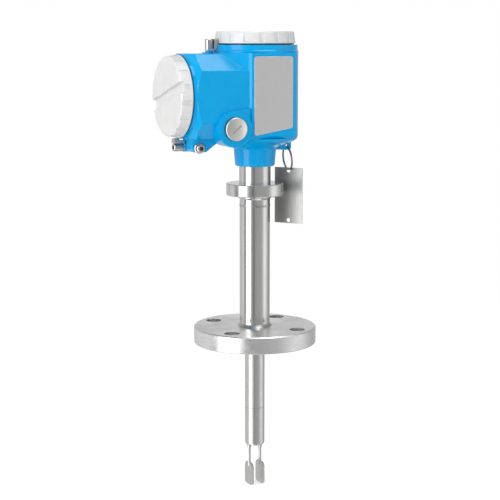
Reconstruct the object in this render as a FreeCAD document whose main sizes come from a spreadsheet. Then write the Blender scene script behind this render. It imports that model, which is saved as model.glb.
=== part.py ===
"""Tuning fork level switch with a two-compartment housing on a flanged sensor, in millimetres.

The origin is the centre of the flange's sealing face. +Z runs up the sensor axis to the housing, -X runs
out of the side (connection) compartment, and -Y is the front, which carries the nameplate and the blind plug.
"""

import FreeCAD, Part

import math
import os
import re

import Sketcher
from FreeCAD import Placement, Rotation, Vector

doc = FreeCAD.newDocument("level_switch")
sheet = doc.addObject("Spreadsheet::Sheet", "Sizes")
parts = []

# Driving sizes, with what each one is.
DRIVING_SIZES = [
    ("fit_gap", 0.3, "clearance between pieces that move past each other"),
    ("snug_gap", 0.05, "radial clearance of turned pieces that fit together"),
    ("flange_dia", 127.0, "outside diameter of the process flange"),
    ("flange_rim", 17.5, "thickness of the flange at its rim"),
    ("face_margin", 9.5, "bolt circle less a hole and the raised face"),
    ("face_raise", 1.6, "height of the raised sealing face"),
    ("bolt_margin", 28.6, "outside diameter of the flange less its bolt circle"),
    ("bolt_hole_dia", 15.9, "diameter of a bolt hole"),
    ("bolt_count", 4, "number of bolt holes"),
    ("bolt_angle", 37.0, "angle of the first bolt hole from +X, degrees"),
    ("flange_bevel", 1.0, "bevel round the flange's edges"),
    ("probe_dia", 20.8, "outside diameter of the wetted tube"),
    ("probe_wall", 2.0, "wall of the wetted tube"),
    ("probe_weld_depth", 68.0, "depth of the weld between wetted tube and fork"),
    ("fork_root_depth", 109.0, "depth of the end face that the tines grow from"),
    ("fork_tip_depth", 152.0, "depth of the tips of the fork"),
    ("fork_bevel", 2.4, "bevel round the end of the fork's body"),
    ("fork_membrane", 2.0, "thickness of the membrane that carries the tines"),
    ("fork_bore_dia", 15.0, "bore of the fork's body above the membrane"),
    ("weld_groove", 0.35, "depth of the groove left beside the fork's weld"),
    ("tine_spacing", 12.7, "distance between the middles of the two tines"),
    ("tine_dia", 3.3, "diameter of a tine's rod"),
    ("tine_root_dia", 5.6, "diameter of a tine where it meets the membrane"),
    ("tine_root_length", 6.0, "length of the flare at a tine's root"),
    ("paddle_width", 17.0, "width of a paddle"),
    ("paddle_length", 24.0, "length of a paddle"),
    ("paddle_thick", 2.0, "thickness of a paddle"),
    ("paddle_shoulder", 4.0, "size of a paddle's sloping upper corners"),
    ("paddle_corner", 3.0, "round of a paddle's lower corners"),
    ("fork_angle", 3.0, "turn of the fork about the sensor axis, degrees"),
    ("pipe_dia", 31.4, "outside diameter of the extension tube"),
    ("pipe_wall", 2.6, "wall of the extension tube"),
    ("pipe_weld_height", 145.0, "height of the weld under the collar"),
    ("seat_weld", 2.6, "leg of the fillet weld on top of the flange"),
    ("collar_dia", 59.0, "diameter of the collar"),
    ("collar_low", 155.5, "height of the collar's lower face"),
    ("collar_thick", 12.4, "thickness of the collar"),
    ("collar_bevel", 0.8, "bevel round the collar's edges"),
    ("hub_dia", 35.0, "diameter of the hub under the collar"),
    ("hub_length", 4.0, "length of the hub under the collar"),
    ("stub_dia", 32.4, "diameter of the stub that the housing turns on"),
    ("stub_bore_dia", 24.0, "bore of the stub"),
    ("stub_groove_height", 196.0, "height of the groove for the lock screw"),
    ("stub_groove_depth", 1.6, "depth of the groove for the lock screw"),
    ("stub_groove_width", 5.6, "width of the groove for the lock screw"),
    ("o_ring_height", 203.0, "height of the O-ring in the neck"),
    ("o_ring_section", 2.4, "section of the O-ring in the neck"),
    ("neck_low", 185.5, "height of the neck's lower end"),
    ("neck_low_dia", 41.0, "diameter of the neck at its lower end"),
    ("neck_top", 203.5, "height where the neck meets the housing"),
    ("neck_top_dia", 43.6, "diameter of the neck at its upper end"),
    ("neck_round", 2.0, "round of the neck's lower edge"),
    ("socket_depth", 21.5, "depth of the socket that the stub sits in"),
    ("passage_dia", 20.0, "passage from the neck to the electronics"),
    ("barrel_step", 0.8, "step from the ring to the electronics compartment"),
    ("barrel_low", 212.5, "height of the barrel's lower corner"),
    ("barrel_top", 308.2, "height of the barrel's top face"),
    ("barrel_ring_margin", 2.1, "width of the ring outside the top cover's lip"),
    ("barrel_ring_height", 6.0, "height of the ring round the barrel's mouth"),
    ("cover_seat_width", 3.5, "width of the seat under a cover's lip"),
    ("thread_bore_depth", 13.0, "depth of the bore that a cover screws into"),
    ("thread_step", 1.0, "step from a cover's thread to the compartment behind it"),
    ("floor_height", 219.0, "height of the electronics compartment's floor"),
    ("side_axis", 257.7, "height of the side compartment's axis"),
    ("side_ring_margin", 0.9, "how far the side compartment reaches past its cover's lip"),
    ("side_bevel", 16.5, "bevel along the side compartment's corners"),
    ("side_edge_round", 2.5, "round along the side compartment's edges"),
    ("side_face", 83.1, "distance of the side compartment's mouth from the axis"),
    ("side_ring_inset", 0.05, "inset of the ring round the side mouth"),
    ("side_ring_length", 2.6, "length of the ring round the side mouth"),
    ("side_shoulder", 5.0, "length of the shoulder behind the side ring"),
    ("partition_wall", 7.4, "least thickness of the partition between the compartments"),
    ("platform_half", 26.0, "half the width of the nameplate's platform"),
    ("platform_bevel", 2.5, "bevel round the nameplate's platform"),
    ("platform_top", 300.5, "height of the platform's upper edge"),
    ("cheek_reach", 47.7, "how far the sloping cheeks reach along the side compartment"),
    ("cheek_half", 25.0, "half the width between the cheeks at that place"),
    ("entry_x", 42.3, "distance of the cable entries from the axis"),
    ("entry_height", 226.7, "height of the cable entries"),
    ("entry_boss_dia", 36.6, "diameter of the bosses round the cable entries"),
    ("entry_proud", 2.0, "how far the entry bosses stand out from the platform"),
    ("entry_boss_length", 24.0, "length of the entry bosses"),
    ("entry_bore_depth", 17.3, "depth of the cable entries"),
    ("clamp_offset", 9.5, "distance of a cover clamp's screw from the cover's lip"),
    ("clamp_stem_dia", 7.6, "diameter of the stem under the cover clamp"),
    ("clamp_drop_top", 5.5, "depth of the top clamp's seat below the mouth"),
    ("clamp_drop_side", 4.6, "depth of the side clamp's seat behind the mouth"),
    ("clamp_relief", 8.6, "radius of the relief that the top claw swings in"),
    ("web_drop", 12.5, "depth of the web under the side compartment"),
    ("web_front", 22.0, "distance of that web's front face from the middle plane"),
    ("ground_inset", 7.0, "distance of the ground terminal from the side clamp's seat"),
    ("ground_drop", 8.3, "distance of the ground terminal below the side compartment"),
    ("ground_washer_dia", 10.6, "diameter of the ground terminal's clamp"),
    ("ground_washer", 3.0, "thickness of the ground terminal's clamp"),
    ("ground_screw_head", 8.4, "diameter of the ground screw's head"),
    ("ground_screw_height", 4.2, "height of the ground screw's head"),
    ("inner_ground_inset", 8.6, "distance of the inner ground screw from the compartment's wall"),
    ("lug_reach", 40.2, "reach of the lug for the tag ring"),
    ("lug_low", 200.6, "height of the lug's lower edge"),
    ("lug_thick", 5.0, "thickness of the lug"),
    ("lug_hole_x", 35.8, "distance of the lug's hole from the axis"),
    ("lug_hole_height", 204.9, "height of the lug's hole"),
    ("lug_hole_dia", 4.0, "diameter of the lug's hole"),
    ("cover_lip_dia", 82.2, "diameter of a cover's lip"),
    ("cover_lip_height", 1.6, "height of a cover's lip"),
    ("cover_lip_step", 0.5, "step from a cover's lip to its grip"),
    ("cover_draft", 0.8, "draft of a cover's grip"),
    ("cover_height", 11.9, "height of a cover above its lip's seat"),
    ("cover_edge", 1.4, "bevel round a cover's face"),
    ("cover_skirt_wall", 3.6, "wall of a cover's threaded skirt"),
    ("cover_skirt_length", 10.0, "length of a cover's threaded skirt"),
    ("cover_ceiling", 6.0, "height of a cover's inner face above its seat"),
    ("cover_slot_width", 11.5, "width of the tool slot across a cover"),
    ("cover_slot_depth", 3.8, "depth of the tool slot across a cover"),
    ("cover_notches", 16, "number of grip notches round a cover"),
    ("cover_notch_width", 7.0, "width of a grip notch"),
    ("cover_notch_depth", 0.7, "depth of a grip notch"),
    ("side_cover_angle", -15.7, "turn of the side cover's slot from level, degrees"),
    ("top_cover_angle", -15.1, "direction of the top cover's slot, degrees from +X"),
    ("seal_gap", 0.25, "clearance each side of a cover's seal"),
    ("seal_height", 1.0, "height of a cover's seal"),
    ("seal_width", 2.2, "width of a cover's seal"),
    ("claw_screw_head", 8.0, "diameter of a clamp screw's head"),
    ("claw_screw_height", 9.4, "height of a clamp screw's head"),
    ("claw_screw_dia", 4.0, "diameter of a clamp screw's shank"),
    ("claw_foot", 1.2, "thickness of a claw's foot"),
    ("claw_height", 11.0, "height of a claw's upright"),
    ("claw_step", 5.7, "height of the step under a claw's beak"),
    ("claw_low_reach", 7.0, "reach of a claw under its beak"),
    ("claw_width", 8.0, "width of a claw"),
    ("claw_clear", 0.4, "clearance between a claw and the cover's lip"),
    ("socket_across", 4.0, "size across the flats of a hexagon socket"),
    ("plug_head_dia", 23.2, "diameter of the blind plug's head"),
    ("plug_head", 2.6, "thickness of the blind plug's head"),
    ("plug_slot", 1.8, "width of the slot in the blind plug"),
    ("plug_slot_length", 12.5, "length of the slot in the blind plug"),
    ("plug_slot_angle", 40.0, "turn of the slot in the front blind plug, degrees"),
    ("rear_slot_angle", 110.0, "turn of the slot in the rear blind plug, degrees"),
    ("plug_thread_dia", 19.1, "middle diameter of the blind plug's thread"),
    ("plug_thread_length", 11.0, "length of the blind plug's thread"),
    ("plug_seal", 1.2, "thickness of the blind plug's seal"),
    ("plate_width", 42.2, "width of the nameplate"),
    ("plate_top", 297.0, "height of the nameplate's upper edge"),
    ("plate_low_left", 219.2, "height of the nameplate's lower left corner"),
    ("plate_low_right", 226.2, "height of the nameplate's lower right corner"),
    ("plate_thick", 0.8, "thickness of the nameplate"),
    ("plate_corner", 2.6, "round of the nameplate's corners"),
    ("insert_top", 280.0, "height of the electronics insert's top"),
    ("insert_rim", 3.0, "width of the rim round the insert's top"),
    ("insert_recess", 4.0, "depth of the recess in the insert's top"),
    ("insert_screw_inset", 9.6, "distance of the insert's screws from the compartment's wall"),
    ("insert_screw_dia", 3.6, "diameter of an insert screw"),
    ("insert_screw_head", 7.0, "diameter of an insert screw's head"),
    ("switch_block_width", 18.0, "width of the block with the two setting switches"),
    ("switch_block_depth", 10.0, "depth of that block"),
    ("switch_block_height", 5.0, "height of that block"),
    ("switch_block_y", 15.0, "distance of that block from the middle"),
    ("switch_spacing", 8.0, "distance between the two setting switches"),
    ("switch_width", 2.6, "width of a setting switch's slider"),
    ("switch_height", 3.0, "height of a setting switch's slider"),
    ("switch_travel", 2.4, "travel of a setting switch's slider"),
    ("led_dia", 3.0, "diameter of a status lamp"),
    ("led_height", 3.4, "height of a status lamp"),
    ("led_spacing", 8.0, "distance between status lamps"),
    ("terminal_clear", 5.0, "distance of the terminal block's end from the inner ground screw's axis"),
    ("terminal_height", 16.0, "height of the terminal block"),
    ("terminal_depth", 14.0, "depth of the terminal block"),
    ("terminal_count", 5, "number of terminals"),
    ("terminal_end", 6.6, "distance of the outer terminals from the terminal block's ends"),
    ("terminal_screw_dia", 4.4, "diameter of a terminal screw's head"),
    ("feed_dia", 12.0, "diameter of the bushing through the partition"),
    ("feed_head_dia", 16.0, "diameter of that bushing's head"),
    ("feed_height", 281.0, "height of that bushing's axis"),
    ("tag_wire", 1.2, "thickness of the tag ring's wire"),
    ("tag_tilt_angle", 6.4, "lean of the tag ring away from the neck, degrees"),
    ("tag_ring_angle", -6.0, "turn of the tag ring about the upright, degrees"),
    ("tag_ring_dia", 25.4, "outside diameter of the tag ring"),
    ("tag_width", 31.8, "width of the tag plate"),
    ("tag_length", 58.0, "length of the tag plate"),
    ("tag_thick", 1.0, "thickness of the tag plate"),
    ("tag_hole_dia", 4.4, "diameter of the tag plate's holes"),
    ("tag_hole_inset", 3.1, "distance of the tag plate's holes from its ends"),
    ("tag_angle", -53.0, "direction of the tag plate's width, degrees from +X"),
]

# Sizes that follow from the driving sizes, so that neighbouring pieces stay together when one of those changes.
FOLLOWING_SIZES = {
    "bolt_circle": "flange_dia - bolt_margin",
    "face_dia": "bolt_circle - bolt_hole_dia - face_margin",
    "barrel_ring_dia": "cover_lip_dia + barrel_ring_margin * 2",
    "barrel_dia": "barrel_ring_dia + barrel_step * 2",
    "side_half": "cover_lip_dia / 2 + side_ring_margin",
    "side_ring_dia": "side_half * 2 - side_ring_inset * 2",
    "thread_bore_dia": "cover_lip_dia - cover_seat_width * 2",
    "cavity_dia": "thread_bore_dia - thread_step * 2",
    "cover_skirt_dia": "thread_bore_dia - fit_gap * 2",
    "cover_grip_dia": "cover_lip_dia - cover_lip_step * 2",
    "cover_face_dia": "cover_grip_dia - cover_draft * 2",
    "platform_front": "barrel_dia / 2",
    "entry_face": "platform_front + entry_proud",
    "clamp_seat_top": "barrel_top - clamp_drop_top",
    "clamp_seat_side": "side_face - clamp_drop_side",
    "web_low": "side_axis - side_half - web_drop",
    "ground_x": "clamp_seat_side - ground_inset",
    "ground_height": "side_axis - side_half - ground_drop",
    "insert_screw_circle": "cavity_dia - insert_screw_inset * 2",
    "inner_ground_y": "cavity_dia / 2 - inner_ground_inset",
    "partition": "cavity_dia / 2 + partition_wall",
    "terminal_width": "inner_ground_y * 2 - terminal_clear * 2",
    "terminal_pitch": "(terminal_width - terminal_end * 2) / (terminal_count - 1)",
}


def fill_sheet():
    for row, (name, number, meaning) in enumerate(DRIVING_SIZES, start=1):
        sheet.set(f"A{row}", meaning)
        sheet.set(f"B{row}", str(number))
        sheet.setAlias(f"B{row}", name)
    sheet.recompute()


def sized(text):
    """Turns plain names of sizes into the sheet's cells."""

    def cell(found):
        name = found.group()
        return f"({sized(FOLLOWING_SIZES[name])})" if name in FOLLOWING_SIZES else f"Sizes.{name}"

    return re.sub(r"\b[a-z][a-z_0-9]*\b(?!\()", cell, str(text))


def size(name):
    return float(sheet.get(name))


def origin_feature(body, role):
    return next(item for item in body.Origin.OriginFeatures if item.Role == role)


def new_body(name):
    body = doc.addObject("PartDesign::Body", name)
    body.Label = name
    parts.append(body)
    return body


def new_sketch(body, what, role, offset="0", shift_y="0"):
    sketch = body.newObject("Sketcher::SketchObject", f"{body.Name}_{what}_sketch")
    sketch.AttachmentSupport = [(origin_feature(body, role), "")]
    sketch.MapMode = "FlatFace"
    sketch.setExpression("AttachmentOffset.Base.z", sized(offset))
    sketch.setExpression("AttachmentOffset.Base.y", sized(shift_y))
    return sketch


def tie(sketch, kind, *where, to):
    index = sketch.addConstraint(Sketcher.Constraint(kind, *where, 1.0))
    sketch.setExpression(f"Constraints[{index}]", sized(to))


def add_outline(sketch, corners):
    """Adds a closed outline whose corners are tied to the sheet."""
    first, count = sketch.GeometryCount, len(corners)
    rough = [Vector(9 * math.cos(math.tau * k / count), 9 * math.sin(math.tau * k / count), 0) for k in range(count)]
    for k in range(count):
        sketch.addGeometry(Part.LineSegment(rough[k], rough[(k + 1) % count]), False)
    for k in range(count):
        sketch.addConstraint(Sketcher.Constraint("Coincident", first + k, 2, first + (k + 1) % count, 1))
    for k, (across, along) in enumerate(corners):
        tie(sketch, "DistanceX", -1, 1, first + k, 1, to=across)
        tie(sketch, "DistanceY", -1, 1, first + k, 1, to=along)


def add_circle(sketch, across, along, radius):
    index = sketch.addGeometry(Part.Circle(Vector(1, 1, 0), Vector(0, 0, 1), 1), False)
    tie(sketch, "DistanceX", -1, 1, index, 3, to=across)
    tie(sketch, "DistanceY", -1, 1, index, 3, to=along)
    tie(sketch, "Radius", index, to=radius)


def finish_feature(body, feature, grows):
    """Rebuilds the body and makes sure that the feature changed it the right way."""
    before = body.Tip.Shape.Volume if body.Tip is not feature and body.Tip is not None else 0.0
    body.Tip = feature
    doc.recompute()
    after = feature.Shape.Volume
    if "Invalid" in feature.State or "Error" in feature.State:
        raise RuntimeError(f"{feature.Name} could not be built: {feature.State}")
    if before and (after <= before) == grows:
        raise RuntimeError(f"{feature.Name} left the volume at {after:.1f}, from {before:.1f}")
    return feature


def feature_of(body, kind, what, sketch):
    previous = body.Tip
    feature = body.newObject(f"PartDesign::{kind}", f"{body.Name}_{what}")
    body.Tip = previous if previous is not None else feature
    feature.Profile = sketch
    return feature


def turn(body, what, corners, axis="V_Axis", shift_y="0", cut=False):
    """Revolves an outline drawn in the XZ plane about the sketch's own axis."""
    sketch = new_sketch(body, what, "XZ_Plane", shift_y=shift_y)
    add_outline(sketch, corners)
    feature = feature_of(body, "Groove" if cut else "Revolution", what, sketch)
    feature.ReferenceAxis = (sketch, [axis])
    feature.Angle = 360
    return finish_feature(body, feature, grows=not cut)


def extrude(body, what, sketch, length, cut=False, against=False, both=False):
    feature = feature_of(body, "Pocket" if cut else "Pad", what, sketch)
    feature.setExpression("Length", sized(length))
    feature.Reversed = against
    feature.Midplane = both
    return finish_feature(body, feature, grows=not cut)


def pattern_round(body, what, feature, count, axis_role="Z_Axis"):
    pattern = body.newObject("PartDesign::PolarPattern", f"{body.Name}_{what}")
    pattern.Originals = [feature]
    pattern.Axis = (origin_feature(body, axis_role), [""])
    pattern.Angle = 360
    pattern.setExpression("Occurrences", sized(count))
    body.Tip = pattern
    doc.recompute()
    return pattern


def soften(body, kind, what, edges, amount):
    """Adds a Fillet or a Chamfer along the edges that the test picks."""
    base = body.Tip
    names = [f"Edge{k}" for k, edge in enumerate(base.Shape.Edges, start=1) if edges(edge)]
    if not names:
        raise RuntimeError(f"{body.Name}: no edge for {what}")
    feature = body.newObject(f"PartDesign::{kind}", f"{body.Name}_{what}")
    feature.Base = (base, names)
    feature.setExpression("Radius" if kind == "Fillet" else "Size", sized(amount))
    body.Tip = feature
    doc.recompute()
    if "Invalid" in feature.State or "Error" in feature.State:
        raise RuntimeError(f"{feature.Name} could not be built")
    return feature


def circle_at(radius, height):
    """Picks circular edges about the body's own Z axis with this radius and height."""

    def test(edge):
        curve = edge.Curve
        return (
            isinstance(curve, Part.Circle)
            and abs(curve.Radius - radius) < 0.01
            and abs(curve.Center.z - height) < 0.01
            and abs(curve.Axis.z) > 0.999
        )

    return test


def place(piece, across="0", deep="0", height="0", rotation=None):
    if rotation is not None:
        piece.Placement = Placement(Vector(), rotation)
    for axis, amount in zip("xyz", (across, deep, height)):
        piece.setExpression(f"Placement.Base.{axis}", sized(amount))
    return piece


def primitive(kind, name, across="0", deep="0", height="0", rotation=None, **sizes):
    """A plain Part shape whose sizes and place are tied to the sheet."""
    piece = doc.addObject(f"Part::{kind}", name)
    for key, amount in sizes.items():
        piece.setExpression(key, sized(amount))
    return place(piece, across, deep, height, rotation)


def joined(name, pieces):
    group = doc.addObject("Part::MultiFuse", name)
    group.Shapes = pieces
    group.Label = name
    return group


def without(name, piece, tool):
    cut = doc.addObject("Part::Cut", name)
    cut.Base, cut.Tool = piece, tool
    cut.Label = name
    return cut


def keep(piece, label):
    piece.Label = label
    parts.append(piece)
    return piece


def make_flange():
    body = new_body("process_flange")
    low, high = "face_raise", "face_raise + flange_rim"
    bore = "probe_dia / 2 + snug_gap"
    turn(body, "disc", [
        (bore, "0"), ("face_dia / 2", "0"), ("face_dia / 2", low),
        ("flange_dia / 2 - flange_bevel", low), ("flange_dia / 2", f"{low} + flange_bevel"),
        ("flange_dia / 2", f"{high} - flange_bevel"), ("flange_dia / 2 - flange_bevel", high), (bore, high),
    ])
    holes = new_sketch(body, "hole", "XY_Plane", offset=high)
    add_circle(holes, "bolt_circle / 2 * cos(bolt_angle)", "bolt_circle / 2 * sin(bolt_angle)", "bolt_hole_dia / 2")
    hole = extrude(body, "hole", holes, "flange_rim + 1", cut=True)
    pattern_round(body, "holes", hole, "bolt_count")


def make_seat_weld():
    body = new_body("seat_weld")
    foot, inner = "face_raise + flange_rim", "pipe_dia / 2 + snug_gap"
    turn(body, "bead", [
        (inner, foot), (f"{inner} + seat_weld", foot),
        (f"{inner} + seat_weld * 0.45", f"{foot} + seat_weld * 0.45"), (inner, f"{foot} + seat_weld"),
    ])


def make_extension_tube():
    body = new_body("extension_tube")
    foot = "face_raise + flange_rim"
    turn(body, "wall", [
        ("pipe_dia / 2 - pipe_wall", foot), ("pipe_dia / 2", foot),
        ("pipe_dia / 2", "pipe_weld_height"), ("pipe_dia / 2 - pipe_wall", "pipe_weld_height"),
    ])


def make_collar():
    """The turned piece between tube and housing: hub, collar and the stub that the housing turns on."""
    body = new_body("collar_stub")
    bore, stub = "stub_bore_dia / 2", "stub_dia / 2"
    groove_low = "stub_groove_height - stub_groove_width / 2"
    groove_high = "stub_groove_height + stub_groove_width / 2"
    ring_low = "o_ring_height - o_ring_section * 0.6"
    ring_high = "o_ring_height + o_ring_section * 0.6"
    ring_depth = "stub_dia / 2 - o_ring_section - snug_gap"
    collar_high = "collar_low + collar_thick"
    turn(body, "profile", [
        (bore, "pipe_weld_height"), ("pipe_dia / 2", "pipe_weld_height"),
        ("pipe_dia / 2", "collar_low - hub_length"), ("hub_dia / 2", "collar_low - hub_length / 2"),
        ("hub_dia / 2", "collar_low"), ("collar_dia / 2 - collar_bevel", "collar_low"),
        ("collar_dia / 2", "collar_low + collar_bevel"), ("collar_dia / 2", f"{collar_high} - collar_bevel"),
        ("collar_dia / 2 - collar_bevel", collar_high), (stub, collar_high),
        (stub, groove_low), (f"{stub} - stub_groove_depth", groove_low),
        (f"{stub} - stub_groove_depth", groove_high), (stub, groove_high),
        (stub, ring_low), (ring_depth, ring_low), (ring_depth, ring_high), (stub, ring_high),
        (stub, "neck_low + socket_depth - fit_gap"), (bore, "neck_low + socket_depth - fit_gap"),
    ])


def make_neck_o_ring():
    ring = primitive("Torus", "neck_o_ring", height="o_ring_height",
                     Radius1="stub_dia / 2 - o_ring_section / 2", Radius2="o_ring_section / 2")
    keep(ring, "neck_o_ring")


def make_probe_tube():
    body = new_body("probe_tube")
    high = "face_raise + flange_rim - seat_weld"
    bore = "probe_dia / 2 - probe_wall"
    turn(body, "wall", [
        (bore, "-probe_weld_depth"), ("probe_dia / 2 - weld_groove", "-probe_weld_depth"),
        ("probe_dia / 2", "-probe_weld_depth + weld_groove"), ("probe_dia / 2", high), (bore, high),
    ])


def make_fork():
    """Body, membrane and both tines are one piece, turned and milled from the bar."""
    body = new_body("tuning_fork")
    root, bore = "-fork_root_depth", "fork_bore_dia / 2"
    turn(body, "cup", [
        (bore, "-probe_weld_depth"), ("probe_dia / 2 - weld_groove", "-probe_weld_depth"),
        ("probe_dia / 2", "-probe_weld_depth - weld_groove"), ("probe_dia / 2", f"{root} + fork_bevel"),
        ("probe_dia / 2 - fork_bevel * 0.35", f"{root} + fork_bevel * 0.35"),
        ("probe_dia / 2 - fork_bevel", root), ("0", root),
        ("0", f"{root} + fork_membrane"), (bore, f"{root} + fork_membrane"),
    ])
    for side, sign in (("left", "-1"), ("right", "1")):
        middle = f"{sign} * tine_spacing / 2"
        neck = f"{root} - tine_root_length"
        sketch = new_sketch(body, f"{side}_rod", "XY_Plane", offset=root)
        add_circle(sketch, middle, "0", "tine_dia / 2")
        extrude(body, f"{side}_rod", sketch, "fork_tip_depth - fork_root_depth - paddle_length + paddle_shoulder", against=True)
        flare = body.newObject("PartDesign::AdditiveCone", f"tuning_fork_{side}_flare")
        flare.AttachmentSupport = [(origin_feature(body, "XY_Plane"), "")]
        flare.MapMode = "FlatFace"
        flare.setExpression("AttachmentOffset.Base.x", sized(middle))
        flare.setExpression("AttachmentOffset.Base.z", sized(neck))
        flare.setExpression("Radius1", sized("tine_dia / 2 + 0.02"))
        flare.setExpression("Radius2", sized("tine_root_dia / 2"))
        flare.setExpression("Height", sized("tine_root_length + fork_membrane / 2"))
        body.Tip = flare
        doc.recompute()
        paddle = new_sketch(body, f"{side}_paddle", "YZ_Plane", offset=f"{middle} - paddle_thick / 2")
        half, tip, top = "paddle_width / 2", "-fork_tip_depth", "-fork_tip_depth + paddle_length"
        low_in, top_in = "paddle_corner * 0.29", "paddle_shoulder * 0.38"
        add_outline(paddle, [
            (f"{half} - paddle_corner", tip), (f"{half} - {low_in}", f"{tip} + {low_in}"),
            (half, f"{tip} + paddle_corner"), (half, f"{top} - paddle_shoulder"),
            (f"{half} - {top_in}", f"{top} - {top_in}"), (f"{half} - paddle_shoulder", top),
            (f"-{half} + paddle_shoulder", top), (f"-{half} + {top_in}", f"{top} - {top_in}"),
            (f"-{half}", f"{top} - paddle_shoulder"), (f"-{half}", f"{tip} + paddle_corner"),
            (f"-{half} + {low_in}", f"{tip} + {low_in}"), (f"-{half} + paddle_corner", tip),
        ])
        extrude(body, f"{side}_paddle", paddle, "paddle_thick")
    place(body, rotation=Rotation(Vector(0, 0, 1), size("fork_angle")))


def make_drive():
    """The piezo stack that drives and senses the fork, with its preload screw and insulators."""
    floor = "-fork_root_depth + fork_membrane"
    stack, disc = [], 2.4
    names = ("drive", "sense", "return", "earth")
    for k, name in enumerate(names):
        stack.append(primitive("Cylinder", f"piezo_{name}", height=f"{floor} + 2.2 + {k} * {disc + 0.3}",
                               Radius="fork_bore_dia / 2 - 1.2", Height=str(disc)))
    bore = primitive("Cylinder", "piezo_bore", height=floor, Radius="2.6", Height="20")
    keep(without("piezo_stack", joined("piezo_discs", stack), bore), "piezo_stack")
    spacers = [primitive("Cylinder", "insulator_low", height=floor, Radius="fork_bore_dia / 2 - 0.6", Height="1.9"),
               primitive("Cylinder", "insulator_high", height=f"{floor} + 13.3", Radius="fork_bore_dia / 2 - 0.6",
                         Height="1.5")]
    hole = primitive("Cylinder", "insulator_bore", height=f"{floor} - 1", Radius="2.6", Height="20")
    keep(without("stack_insulators", joined("insulator_discs", spacers), hole), "stack_insulators")
    screw = new_body("preload_screw")
    turn(screw, "profile", [
        ("0", floor), ("2.2", floor), ("2.2", f"{floor} + 15"), ("4.6", f"{floor} + 15"),
        ("4.6", f"{floor} + 18"), ("0", f"{floor} + 18"),
    ])


def make_lead():
    """The fork's lead, straight up the sensor axis to the sealed feed-through."""
    low = "-fork_root_depth + fork_membrane + 18.3"
    keep(primitive("Cylinder", "sensor_lead", height=low, Radius="1.6",
                   Height=f"stub_groove_height - 8 - ({low})"), "sensor_lead")
    body = new_body("sealed_feedthrough")
    seat = "stub_groove_height - 8"
    turn(body, "profile", [
        ("0", seat), ("stub_bore_dia / 2 - snug_gap", seat), ("stub_bore_dia / 2 - snug_gap", f"{seat} + 9"),
        ("3", f"{seat} + 9"), ("3", f"{seat} + 14"), ("0", f"{seat} + 14"),
    ])


def octagon():
    half, flat = "side_half", "side_half - side_bevel"
    return [
        (flat, f"side_axis - {half}"), (half, f"side_axis - ({flat})"), (half, f"side_axis + {flat}"),
        (flat, f"side_axis + {half}"), (f"-({flat})", f"side_axis + {half}"), (f"-{half}", f"side_axis + {flat}"),
        (f"-{half}", f"side_axis - ({flat})"), (f"-({flat})", f"side_axis - {half}"),
    ]


def cast_outside(body):
    compartment = new_sketch(body, "compartment", "YZ_Plane", offset="-side_face + side_ring_length")
    add_outline(compartment, octagon())
    extrude(body, "compartment", compartment, "side_face - side_ring_length")
    soften(body, "Fillet", "compartment_edges",
           lambda edge: len(edge.Vertexes) == 2 and abs(abs((edge.Vertexes[1].Point - edge.Vertexes[0].Point).x)
                                                        - edge.Length) < 0.001, "side_edge_round")
    back, ring = "-side_face + side_ring_length", "side_ring_dia / 2"
    turn(body, "shoulder", [
        (f"{back} - 1", ring), (back, ring), (f"{back} + side_shoulder", f"{ring} + side_shoulder * 1.4"),
        (f"{back} + side_shoulder", f"{ring} + 20"), (f"{back} - 1", f"{ring} + 20"),
    ], axis="H_Axis", shift_y="side_axis", cut=True)
    mouth = new_sketch(body, "side_ring", "YZ_Plane", offset="-side_face")
    add_circle(mouth, "0", "side_axis", "side_ring_dia / 2")
    extrude(body, "side_ring", mouth, "side_ring_length + 1")
    cheeks = new_sketch(body, "cheeks", "XY_Plane", offset="barrel_low + 3")
    add_outline(cheeks, [
        ("-platform_half + 1.5", "-side_half"), ("0", "-side_half"), ("0", "side_half"),
        ("-platform_half + 1.5", "side_half"), ("-cheek_reach", "cheek_half"), ("-cheek_reach", "-cheek_half"),
    ])
    extrude(body, "cheeks", cheeks, "platform_top - barrel_low - 3")
    shell, ring = "barrel_dia / 2", "barrel_ring_dia / 2"
    turn(body, "barrel", [
        ("0", "neck_low"), ("neck_low_dia / 2 - neck_round", "neck_low"),
        ("neck_low_dia / 2 - neck_round * 0.3", "neck_low + neck_round * 0.3"),
        ("neck_low_dia / 2", "neck_low + neck_round"), ("neck_top_dia / 2", "neck_top"),
        ("neck_top_dia / 2 + 1.4", "neck_top + 1.6"), (f"{shell} - 4.5", "barrel_low - 1.4"),
        (f"{shell} - 1.2", "barrel_low + 0.8"), (shell, "barrel_low + 4"),
        (shell, "barrel_top - barrel_ring_height"), (ring, "barrel_top - barrel_ring_height + 1"),
        (ring, "barrel_top"), ("0", "barrel_top"),
    ])
    low, side, front = "barrel_low + 4", "platform_half", "-platform_front"
    platform = new_sketch(body, "platform", "XY_Plane", offset=low)
    add_outline(platform, [
        (f"-{side}", "0"), (f"-{side}", f"{front} + platform_bevel"), (f"-{side} + platform_bevel", front),
        (f"{side} - platform_bevel", front), (side, f"{front} + platform_bevel"), (side, "0"),
    ])
    extrude(body, "platform", platform, f"platform_top - ({low})")
    chin = new_sketch(body, "platform_chin", "YZ_Plane", offset=f"-{side} - 1")
    add_outline(chin, [
        (f"{front} - 1", f"{low} - 1"), (f"{front} + platform_bevel + 1", f"{low} - 1"),
        (f"{front} - 1", f"{low} + platform_bevel + 1"),
    ])
    extrude(body, "platform_chin", chin, f"{side} * 2 + 2", cut=True, against=True)


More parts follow.
